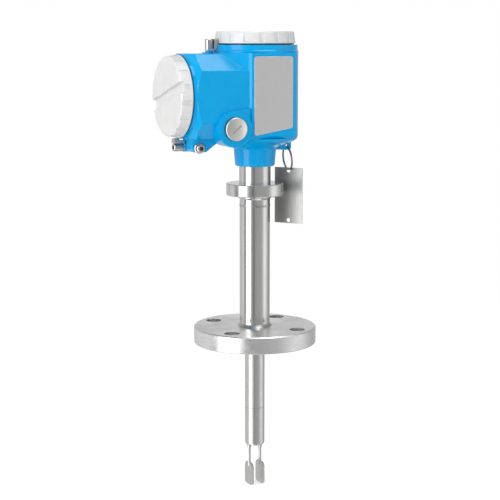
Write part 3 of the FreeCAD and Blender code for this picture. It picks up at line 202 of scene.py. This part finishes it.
def mixed(tree, mask, first, second, blend="MIX"):
    """Mixes two colours. Each is a socket, or three numbers."""
    mix = tree.nodes.new("ShaderNodeMix")
    mix.data_type = "RGBA"
    mix.blend_type = blend
    for label, value in (("Factor", mask), ("A", first), ("B", second)):
        if isinstance(value, bpy.types.NodeSocket):
            link(tree, value, mix.inputs[label])
        else:
            mix.inputs[label].default_value = (*value, 1.0) if label != "Factor" else value
    return mix.outputs["Result"]


def coat_peel_group():
    """Fine unevenness of a powder coat."""
    group, into, out = new_group("powder coat peel")
    fine = noise(group, into.outputs["Vector"], 900.0, 3.0)
    broad = noise(group, into.outputs["Vector"], 60.0, 3.0)
    height = calculated(group, "MULTIPLY_ADD", broad, 0.5, fine)
    link(group, height, out.inputs["Height"])
    link(group, ranged(group, broad, 0.35, 0.65, 0.0, 1.0), out.inputs["Shade"])
    return group


def tool_marks_group():
    """Marks of turning or brushing: noise drawn out along one direction."""
    group, into, out = new_group("tool marks")
    marks = noise(group, into.outputs["Vector"], 1.0, 6.0, 0.7)
    link(group, marks, out.inputs["Height"])
    link(group, ranged(group, marks, 0.3, 0.7, 0.0, 1.0), out.inputs["Shade"])
    return group


def place_group(tree, group, vector):
    node = tree.nodes.new("ShaderNodeGroup")
    node.node_tree = group
    link(tree, vector, node.inputs["Vector"])
    return node


def new_material(name, colour, roughness, metallic=0.0, coat=0.0, specular=0.5):
    material = bpy.data.materials.new(name)
    material.use_nodes = True
    material.diffuse_color = (*colour, 1.0)
    shader = material.node_tree.nodes["Principled BSDF"]
    shader.inputs["Base Color"].default_value = (*colour, 1.0)
    shader.inputs["Roughness"].default_value = roughness
    shader.inputs["Metallic"].default_value = metallic
    shader.inputs["Coat Weight"].default_value = coat
    shader.inputs["Coat Roughness"].default_value = 0.12
    shader.inputs["Specular IOR Level"].default_value = specular
    spot = material.node_tree.nodes.new("ShaderNodeTexCoord")
    return material, material.node_tree, shader, spot.outputs["Object"]


def coming_into(shader, label):
    """The socket that feeds one of the shader's inputs."""
    return shader.inputs[label].links[0].from_socket


def bumped(tree, shader, height, strength, distance=0.0002):
    """Adds a bump on top of any bump that the shader has."""
    bump = tree.nodes.new("ShaderNodeBump")
    bump.inputs["Strength"].default_value = strength
    bump.inputs["Distance"].default_value = distance
    link(tree, height, bump.inputs["Height"])
    if shader.inputs["Normal"].is_linked:
        link(tree, coming_into(shader, "Normal"), bump.inputs["Normal"])
    link(tree, bump.outputs["Normal"], shader.inputs["Normal"])


def domed(material, centre, rise, radius):
    """Makes a flat turned face look domed. The face looks along Y, and its middle is at the centre."""
    tree = material.node_tree
    spot = tree.nodes.new("ShaderNodeTexCoord").outputs["Object"]
    shift = joined(tree, "ShaderNodeVectorMath", "SUBTRACT", spot, centre).outputs["Vector"]
    flat = joined(tree, "ShaderNodeVectorMath", "MULTIPLY", shift, (1, 0, 1)).outputs["Vector"]
    square = joined(tree, "ShaderNodeVectorMath", "DOT_PRODUCT", flat, flat).outputs["Value"]
    height = calculated(tree, "MULTIPLY", square, -rise / radius ** 2)
    bumped(tree, tree.nodes["Principled BSDF"], height, 1.0, 1.0)


def painted_recess_shade(material, reach, darkest):
    """Painted shade: darkens the base colour deep in a socket or corner, where the piece itself hides the
    light.
    """
    tree = material.node_tree
    shader = tree.nodes["Principled BSDF"]
    open_share = tree.nodes.new("ShaderNodeAmbientOcclusion")
    open_share.samples = 12
    open_share.only_local = True
    open_share.inputs["Distance"].default_value = reach
    shade = ranged(tree, open_share.outputs["AO"], 0.3, 0.85, darkest, 1.0)
    darker = mixed(tree, 1.0, coming_into(shader, "Base Color"), shade, "MULTIPLY")
    link(tree, darker, shader.inputs["Base Color"])


def dull_chamfers(material, roughness):
    """Gives the chamfers that look half upward a rougher cut than the turned faces."""
    tree = material.node_tree
    shader = tree.nodes["Principled BSDF"]
    way = tree.nodes.new("ShaderNodeTexCoord")
    parts = tree.nodes.new("ShaderNodeSeparateXYZ")
    link(tree, way.outputs["Normal"], parts.inputs["Vector"])
    chamfer = calculated(tree, "COMPARE", parts.outputs["Z"], 0.7, 0.15)
    dull = ranged(tree, chamfer, 0, 1, 0, roughness)
    rougher = calculated(tree, "MAXIMUM", coming_into(shader, "Roughness"), dull)
    link(tree, rougher, shader.inputs["Roughness"])


def powder_coat(name, colour, peel_group, strength, roughness, specular):
    material, tree, shader, spot = new_material(name, colour, roughness, specular=specular)
    peel = place_group(tree, peel_group, spot)
    darker = tuple(part * 0.94 for part in colour)
    link(tree, mixed(tree, peel.outputs["Shade"], colour, darker), shader.inputs["Base Color"])
    spread = ranged(tree, peel.outputs["Shade"], 0, 1, roughness * 0.85, roughness * 1.2)
    link(tree, spread, shader.inputs["Roughness"])
    bumped(tree, shader, peel.outputs["Height"], strength, 0.0001)
    return material


def steel(name, colour, marks_group, stretch, roughness, strength, darker=0.86, patchy=0.0, turned_about=None,
          grooved=0.65):
    """Bare steel with marks of its making. Turned steel mirrors in streaks round its axis."""
    material, tree, shader, spot = new_material(name, colour, roughness, metallic=1.0)
    if turned_about:
        grooves = tree.nodes.new("ShaderNodeTangent")
        grooves.direction_type = "RADIAL"
        grooves.axis = turned_about
        shader.inputs["Anisotropic"].default_value = grooved
        link(tree, grooves.outputs["Tangent"], shader.inputs["Tangent"])
    marks = place_group(tree, marks_group, stretched(tree, spot, stretch))
    dark = tuple(part * darker for part in colour)
    link(tree, mixed(tree, marks.outputs["Shade"], colour, dark), shader.inputs["Base Color"])
    spread = ranged(tree, marks.outputs["Shade"], 0, 1, roughness - 0.05, roughness + 0.07)
    if patchy:
        cloud = ranged(tree, noise(tree, spot, 45.0, 3.0), 0.35, 0.65, -patchy, patchy)
        spread = calculated(tree, "ADD", spread, cloud)
    link(tree, spread, shader.inputs["Roughness"])
    bumped(tree, shader, marks.outputs["Height"], strength)
    return material


def speckled(name, colour, second, scale, roughness, metallic=0.0, strength=0.1, coat=0.0):
    """A surface of two fine-grained shades: plastic, rubber, ceramic, glass, brass or weld metal."""
    material, tree, shader, spot = new_material(name, colour, roughness, metallic, coat)
    grain = noise(tree, spot, scale, 5.0)
    shade = ranged(tree, grain, 0.4, 0.6, 0, 1)
    link(tree, mixed(tree, shade, colour, second), shader.inputs["Base Color"])
    spread = ranged(tree, grain, 0.3, 0.7, roughness - 0.05, roughness + 0.08)
    link(tree, spread, shader.inputs["Roughness"])
    bumped(tree, shader, grain, strength, 0.0001)
    return material


def make_materials():
    housing, covers, metal = sizes("housing"), sizes("covers"), sizes("steel")
    peel, marks = coat_peel_group(), tool_marks_group()
    steel_colour = tuple(metal.steel)
    made = {
        "casting": powder_coat("casting powder coat", tuple(housing.paint), peel, housing.peel, 0.05, 0.3),
        "cover": powder_coat("cover powder coat", tuple(covers.paint), peel, 0.04, 0.34, 0.4),
        "turned": steel("turned steel", steel_colour, marks, (90, 90, 2600), 0.16, 0.05),
        "flange": steel("flange steel", (0.86, 0.86, 0.855), marks, (700, 700, 900), 0.31, 0.12, patchy=0.07,
                        turned_about="Z"),
        "probe": steel("wetted steel", steel_colour, marks, (260, 260, 400), 0.34, 0.06, 0.9),
        "tube": steel("drawn tube steel", steel_colour, marks, (260, 260, 26), 0.16, 0.05, 0.9),
        "weld": speckled("weld bead", (0.58, 0.58, 0.575), (0.42, 0.42, 0.42), 500.0, 0.3, 1.0, 0.15),
        "plug": steel("plug nickel", (0.86, 0.85, 0.83), marks, (600, 600, 600), 0.3, 0.02, turned_about="Y",
                      grooved=0.8),
        "plate": steel("brushed plate", (0.87, 0.87, 0.87), marks, (60, 60, 1900), 0.3, 0.06, 0.93),
        "tag": steel("tag sheet steel", (0.47, 0.47, 0.465), marks, (1400, 1400, 90), 0.4, 0.07),
        "fastener": steel("fastener steel", (0.6, 0.595, 0.58), marks, (900, 900, 1500), 0.25, 0.08),
        "claw": steel("claw steel", (0.66, 0.655, 0.64), marks, (900, 900, 1500), 0.42, 0.08),
        "wire": steel("ring wire steel", (0.42, 0.415, 0.4), marks, (500, 500, 500), 0.2, 0.05),
        "rubber": speckled("seal rubber", (0.018, 0.018, 0.019), (0.03, 0.03, 0.03), 900.0, 0.6),
        "insert": speckled("insert plastic", (0.52, 0.53, 0.54), (0.47, 0.48, 0.49), 1200.0, 0.45),
        "slider": speckled("slider plastic", (0.75, 0.76, 0.76), (0.7, 0.7, 0.7), 1500.0, 0.4),
        "terminal": speckled("terminal plastic", (0.05, 0.055, 0.06), (0.07, 0.07, 0.075), 1200.0, 0.45),
        "brass": speckled("screw brass", (0.72, 0.54, 0.25), (0.62, 0.45, 0.2), 900.0, 0.28, 1.0),
        "ceramic": speckled("fired ceramic", (0.82, 0.8, 0.73), (0.78, 0.75, 0.67), 800.0, 0.5),
        "cable": speckled("lead jacket", (0.06, 0.06, 0.065), (0.08, 0.08, 0.085), 700.0, 0.5),
        "glass": speckled("feed-through glass", (0.06, 0.12, 0.13), (0.08, 0.15, 0.16), 300.0, 0.12, 0.0,
                          0.03, 0.5),
        "lens": speckled("lamp lens", (0.72, 0.78, 0.7), (0.68, 0.75, 0.66), 400.0, 0.12, 0.0, 0.03, 0.6),
    }
    domed(made["plug"], FRONT_PLUG_MIDDLE, PLUG_DOME_RISE, PLUG_DOME_RADIUS)
    dull_chamfers(made["turned"], 0.6)
    # Painted shade: the fastener's sockets and inner corners are darkened in their colour.
    painted_recess_shade(made["fastener"], 0.004, 0.08)
    return made


MATERIALS = {}


def finish_of(name):
    if not MATERIALS:
        MATERIALS.update(make_materials())
    return MATERIALS[name]


def dress(node, finish):
    """Gives a CAD node its finish. The node's mesh stays as it is."""
    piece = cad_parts[node]
    piece.data.materials.clear()
    piece.data.materials.append(finish_of(finish))


def new_piece(name, body, bm, finish, smooth=40.0):
    mesh = bpy.data.meshes.new(name)
    bmesh.ops.recalc_face_normals(bm, faces=bm.faces)
    bm.to_mesh(mesh)
    bm.free()
    piece = bpy.data.objects.new(name, mesh)
    bpy.context.scene.collection.objects.link(piece)
    mesh.shade_smooth()
    mesh.set_sharp_from_angle(angle=math.radians(smooth))
    mesh.materials.append(finish_of(finish))
    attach(piece, body)
    return piece


def merged_copy(node):
    """A copy of a CAD node's mesh with its doubled points merged and its flat faces joined."""
    bm = bmesh.new()
    bm.from_mesh(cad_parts[node].data)
    bmesh.ops.remove_doubles(bm, verts=bm.verts, dist=SAME_POINT)
    bmesh.ops.dissolve_limit(bm, angle_limit=SAME_FACE, use_dissolve_boundaries=False,
                             verts=bm.verts, edges=bm.edges, delimit={"NORMAL"})
    return bm


def rounded(node, name, body, finish, width, angle=28.0):
    """Stands in for a CAD node with a copy whose edges are rounded."""
    piece = new_piece(name, body, merged_copy(node), finish)
    bevel = piece.modifiers.new("edge round", "BEVEL")
    bevel.width = width
    bevel.segments = 3
    bevel.limit_method = "ANGLE"
    bevel.angle_limit = math.radians(angle)
    bevel.use_clamp_overlap = True
    bevel.miter_outer = "MITER_ARC"
    flat = piece.modifiers.new("flat faces stay flat", "WEIGHTED_NORMAL")
    flat.keep_sharp = True
    flat.weight = 100
    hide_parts(node)


def girth_weld(name, height, radius, width, ripples):
    """A weld bead round a tube, with the ripples that its pool leaves."""
    bm = bmesh.new()
    foot = Matrix.Translation((0, 0, height - width / 2))
    bmesh.ops.create_circle(bm, segments=ripples * 3, radius=radius, matrix=foot)
    edges = list(bm.edges)
    rows = 6
    for _ in range(rows):
        made = bmesh.ops.extrude_edge_only(bm, edges=edges)["geom"]
        up = [item for item in made if isinstance(item, bmesh.types.BMVert)]
        bmesh.ops.translate(bm, verts=up, vec=(0, 0, width / rows))
        edges = [item for item in made if isinstance(item, bmesh.types.BMEdge)]
    for vert in bm.verts:
        across = (vert.co.z - height) / (width / 2)
        around_angle = math.atan2(vert.co.y, vert.co.x)
        swell = max(0.0, 1 - across * across) ** 0.5
        wave = 0.8 + 0.2 * math.cos(ripples * around_angle - 2.2 * across * across)
        scale = (radius - WELD_SUNK + WELD_PROUD * swell * wave) / radius
        vert.co.x *= scale
        vert.co.y *= scale
    bmesh.ops.holes_fill(bm, edges=[edge for edge in bm.edges if edge.is_boundary], sides=0)
    return new_piece(name, "sensor", bm, "weld", 60.0)


def coil(centre, axis, radius, wire, turns, pitch, steps=64, sides=10):
    """A wire wound in the given number of turns about an axis, with closed ends."""
    bm = bmesh.new()
    turn = Vector((0, 0, 1)).rotation_difference(Vector(axis)).to_matrix()
    count = round(turns * steps)
    loops = []
    for k in range(count + 1):
        angle = math.tau * k / steps
        outward = Vector((math.cos(angle), math.sin(angle), 0))
        spot = outward * radius + Vector((0, 0, pitch * (k / steps - turns / 2)))
        loop = []
        for side in range(sides):
            lean = math.tau * side / sides
            point = spot + outward * (wire / 2 * math.cos(lean)) + Vector((0, 0, wire / 2 * math.sin(lean)))
            loop.append(bm.verts.new(Vector(centre) + turn @ point))
        loops.append(loop)
    for first, second in zip(loops, loops[1:]):
        for side in range(sides):
            bm.faces.new((first[side], first[(side + 1) % sides], second[(side + 1) % sides], second[side]))
    bm.faces.new(loops[0])
    bm.faces.new(loops[-1])
    return bm


def middle(node):
    """The middle of a CAD node's box."""
    points = [vert.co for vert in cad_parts[node].data.vertices]
    low = Vector([min(point[k] for point in points) for k in range(3)])
    high = Vector([max(point[k] for point in points) for k in range(3)])
    return (low + high) / 2


class LEVEL_SWITCH_OT_sensor(bpy.types.Operator):
    """Dresses the flange, tubes, collar and fork, and lays the weld beads"""

    bl_idname = "level_switch.sensor"
    bl_label = "Sensor"

    def execute(self, context):
        metal = sizes("steel")
        for node, finish in (("process_flange", "flange"), ("extension_tube", "tube"),
                             ("collar_stub", "turned"), ("probe_tube", "probe"), ("tuning_fork", "probe"),
                             ("seat_weld", "weld"), ("neck_o_ring", "rubber"), ("piezo_stack", "ceramic"),
                             ("stack_insulators", "ceramic"), ("preload_screw", "fastener"),
                             ("sensor_lead", "cable"), ("sealed_feedthrough", "glass")):
            dress(node, finish)
        girth_weld("collar_weld_bead", COLLAR_WELD_HEIGHT, COLLAR_WELD_RADIUS, metal.bead_width,
                   metal.ripples)
        girth_weld("fork_weld_bead", FORK_WELD_HEIGHT, FORK_WELD_RADIUS, metal.bead_width * 0.5,
                   metal.ripples)
        return {"FINISHED"}


class LEVEL_SWITCH_OT_housing(bpy.types.Operator):
    """Rounds and paints the housing casting, and dresses what is mounted on it"""

    bl_idname = "level_switch.housing"
    bl_label = "Housing"

    def execute(self, context):
        housing = sizes("housing")
        rounded("housing_casting", "painted_casting", "housing", "casting",
                housing.edge_round)
        rounded("front_blind_plug", "front_plug_turned", "housing", "plug", PLUG_EDGE_ROUND)
        rounded("rear_blind_plug", "rear_plug_turned", "housing", "plug", PLUG_EDGE_ROUND)
        rounded("nameplate", "bare_nameplate", "housing", "plate", PLATE_EDGE_ROUND)
        for node, finish in (("front_plug_seal", "rubber"), ("rear_plug_seal", "rubber"),
                             ("ground_clamp", "fastener"), ("ground_screw", "fastener"),
                             ("neck_lock_screw", "fastener"), ("top_clamp_screw", "fastener"),
                             ("side_clamp_screw", "fastener"), ("top_clamp_claw", "claw"),
                             ("side_clamp_claw", "claw")):
            dress(node, finish)
        return {"FINISHED"}


class LEVEL_SWITCH_OT_inside(bpy.types.Operator):
    """Dresses the electronics insert, switches, lamps and terminals"""

    bl_idname = "level_switch.inside"
    bl_label = "Inside"

    def execute(self, context):
        for node, finish in (("electronics_insert", "insert"), ("insert_screws", "fastener"),
                             ("status_lamps", "lens"), ("switch_block", "terminal"),
                             ("switch_slider_left", "slider"), ("switch_slider_right", "slider"),
                             ("terminal_block", "terminal"), ("terminal_screws", "brass"),
                             ("partition_bushing", "terminal"), ("inner_ground_screw", "brass")):
            dress(node, finish)
        return {"FINISHED"}


class LEVEL_SWITCH_OT_covers(bpy.types.Operator):
    """Rounds and paints both covers, adds their threads and dresses their seals"""

    bl_idname = "level_switch.covers"
    bl_label = "Covers"

    def execute(self, context):
        covers = sizes("covers")
        rounded("top_cover", "painted_top_cover", "top_cover", "cover", covers.edge_round)
        rounded("side_cover", "painted_side_cover", "side_cover", "cover", covers.edge_round)
        for node, name, axis, spot in (("top_cover", "top_cover_thread", (0, 0, 1), TOP_THREAD_MIDDLE),
                                       ("side_cover", "side_cover_thread", (1, 0, 0), SIDE_THREAD_MIDDLE)):
            ridge = coil(spot, axis, covers.skirt_radius - THREAD_SUNK, THREAD_RIDGE, THREAD_TURNS,
                         covers.thread_pitch, steps=96, sides=6)
            new_piece(name, node, ridge, "cover")
        dress("top_cover_seal", "rubber")
        dress("side_cover_seal", "rubber")
        return {"FINISHED"}


class LEVEL_SWITCH_OT_tag(bpy.types.Operator):
    """Dresses the tag plate and winds its split ring"""

    bl_idname = "level_switch.tag"
    bl_label = "Tag"

    def execute(self, context):
        tag = sizes("tag")
        dress("tag_plate", "tag")
        lean, twist = TAG_RING_LEAN, TAG_RING_TWIST
        axis = (math.sin(lean) * math.cos(twist), math.sin(lean) * math.sin(twist), math.cos(lean))
        wound = coil(middle("tag_ring"), axis, (tag.outside - tag.wire) / 2, tag.wire, TAG_RING_TURNS,
                     tag.wire * TAG_RING_CLOSENESS)
        ring = new_piece("split_ring", "tag_ring", wound, "wire")
        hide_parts("tag_ring")
        return {"FINISHED"}


def stage_material(name, colour, to_camera):
    """A floor that is white to the camera, keeps the shadow, and lets mirrored rays through to the studio."""
    material = bpy.data.materials.new(name)
    material.use_nodes = True
    tree = material.node_tree
    shader = tree.nodes["Principled BSDF"]
    shader.inputs["Base Color"].default_value = (*colour, 1)
    shader.inputs["Roughness"].default_value = 0.9
    shader.inputs["Specular IOR Level"].default_value = 0.0
    shader.inputs["Emission Color"].default_value = (1, 1, 1, 1)
    path = tree.nodes.new("ShaderNodeLightPath")
    glow = ranged(tree, path.outputs["Is Camera Ray"], 0, 1, 0, to_camera)
    link(tree, glow, shader.inputs["Emission Strength"])
    let_through = calculated(tree, "MAXIMUM", path.outputs["Is Glossy Ray"],
                             path.outputs["Is Transmission Ray"])
    clear = tree.nodes.new("ShaderNodeBsdfTransparent")
    mix = tree.nodes.new("ShaderNodeMixShader")
    link(tree, let_through, mix.inputs[0])
    link(tree, shader.outputs[0], mix.inputs[1])
    link(tree, clear.outputs[0], mix.inputs[2])
    link(tree, mix.outputs[0], tree.nodes["Material Output"].inputs["Surface"])
    return material


def studio_world():
    """White to the camera. Round the object it is a ring of pale panels with darker gaps, as in a studio."""
    world = bpy.data.worlds.new("studio")
    bpy.context.scene.world = world
    world.use_nodes = True
    tree = world.node_tree
    background = tree.nodes["Background"]
    spot = tree.nodes.new("ShaderNodeTexCoord")
    axes = tree.nodes.new("ShaderNodeSeparateXYZ")
    link(tree, spot.outputs["Generated"], axes.inputs["Vector"])
    turn = calculated(tree, "ARCTAN2", axes.outputs["Y"], axes.outputs["X"])
    ramp = tree.nodes.new("ShaderNodeValToRGB")
    link(tree, ranged(tree, turn, -math.pi, math.pi, 0.0, 1.0), ramp.inputs["Fac"])
    ramp.color_ramp.interpolation = "EASE"
    places = []
    for angle, level in STUDIO_BANDS:
        where = ((STUDIO_TOWARD_CAMERA + angle + 180.0) % 360.0) / 360.0
        places.append((where, level))
    places.sort()
    elements = ramp.color_ramp.elements
    while len(elements) > 1:
        elements.remove(elements[-1])
    elements[0].position = places[0][0]
    elements[0].color = (places[0][1],) * 3 + (1,)
    for where, level in places[1:]:
        element = elements.new(where)
        element.color = (level, level, level, 1)
    above = ranged(tree, axes.outputs["Z"], 0.35, 0.75, 0.0, 1.0)
    lidded = mixed(tree, above, ramp.outputs["Color"], (STUDIO_LID,) * 3)
    path = tree.nodes.new("ShaderNodeLightPath")
    seen = mixed(tree, path.outputs["Is Camera Ray"], lidded, (1, 1, 1))
    link(tree, seen, background.inputs["Color"])
    background.inputs["Strength"].default_value = 1.0


def add_lamp(name, spot, turn, size, power, mirrored=True):
    lamp = bpy.data.lights.new(name, "AREA")
    lamp.shape = "RECTANGLE"
    lamp.size, lamp.size_y = size
    lamp.energy = power
    piece = bpy.data.objects.new(name, lamp)
    bpy.context.scene.collection.objects.link(piece)
    piece.location = spot
    piece.rotation_mode = "QUATERNION"
    piece.rotation_quaternion = turn
    piece.visible_glossy = mirrored


def facing(spot, aim):
    return (Vector(aim) - Vector(spot)).to_track_quat("-Z", "Y")


class LEVEL_SWITCH_OT_stage(bpy.types.Operator):
    """Sets the camera, floor and studio light"""

    bl_idname = "level_switch.stage"
    bl_label = "Stage"

    def execute(self, context):
        stage = sizes("stage")
        scene = context.scene
        camera = bpy.data.cameras.new("photo_camera")
        camera.lens = stage.lens
        camera.sensor_width = 36.0
        camera.clip_start, camera.clip_end = 0.05, 50.0
        holder = bpy.data.objects.new("photo_camera", camera)
        scene.collection.objects.link(holder)
        holder.location = (CAMERA_DISTANCE * math.sin(CAMERA_AZIMUTH),
                           -CAMERA_DISTANCE * math.cos(CAMERA_AZIMUTH), CAMERA_HEIGHT)
        heading, ahead = CAMERA_AZIMUTH + CAMERA_YAW, math.cos(CAMERA_PITCH)
        forward = Vector((-math.sin(heading) * ahead, math.cos(heading) * ahead, -math.sin(CAMERA_PITCH)))
        holder.rotation_mode = "QUATERNION"
        holder.rotation_quaternion = forward.to_track_quat("-Z", "Y")
        scene.camera = holder
        bm = bmesh.new()
        bmesh.ops.create_grid(bm, x_segments=1, y_segments=1, size=FLOOR_SIZE,
                              matrix=Matrix.Translation((0, 0, stage.floor_level)))
        mesh = bpy.data.meshes.new("floor")
        bm.to_mesh(mesh)
        bm.free()
        floor = bpy.data.objects.new("floor", mesh)
        scene.collection.objects.link(floor)
        mesh.materials.append(stage_material("white floor", FLOOR_COLOUR, FLOOR_GLOW))
        studio_world()
        add_lamp("key_panel", KEY_SPOT, facing(KEY_SPOT, LAMP_AIM), KEY_SIZE, stage.key_power)
        add_lamp("low_panel", LOW_SPOT, facing(LOW_SPOT, LAMP_AIM), LOW_SIZE, stage.low_power, mirrored=False)
        add_lamp("top_panel", TOP_SPOT, Quaternion((0, 0, 1), TOP_TURN), TOP_SIZE, stage.top_power)
        scene.view_settings.view_transform = "Standard"
        return {"FINISHED"}


class LEVEL_SWITCH_PT_panel(bpy.types.Panel):
    """Lists the steps and sizes of the level switch"""

    bl_idname = "LEVEL_SWITCH_PT_panel"
    bl_label = "Level switch"
    bl_space_type = "VIEW_3D"
    bl_region_type = "UI"
    bl_category = "Level switch"

    def draw(self, context):
        for operator in STEPS:
            self.layout.operator(operator.bl_idname)
        for name, group in GROUPS.items():
            box = self.layout.box()
            box.label(text=name.capitalize())
            for label in group.__annotations__:
                box.prop(sizes(name), label)


STEPS = (LEVEL_SWITCH_OT_stage, LEVEL_SWITCH_OT_sensor, LEVEL_SWITCH_OT_housing, LEVEL_SWITCH_OT_inside,
         LEVEL_SWITCH_OT_covers, LEVEL_SWITCH_OT_tag)
CLASSES = (*GROUPS.values(), *STEPS, LEVEL_SWITCH_PT_panel)


def register():
    for item in CLASSES:
        bpy.utils.register_class(item)
    for name, group in GROUPS.items():
        setattr(bpy.types.Scene, f"level_switch_{name}", PointerProperty(type=group))


def unregister():
    for name in GROUPS:
        delattr(bpy.types.Scene, f"level_switch_{name}")
    for item in reversed(CLASSES):
        bpy.utils.unregister_class(item)


def main():
    register()
    for operator in STEPS:
        getattr(bpy.ops.level_switch, operator.bl_idname.split(".")[1])()


if __name__ == "__main__":
    main()
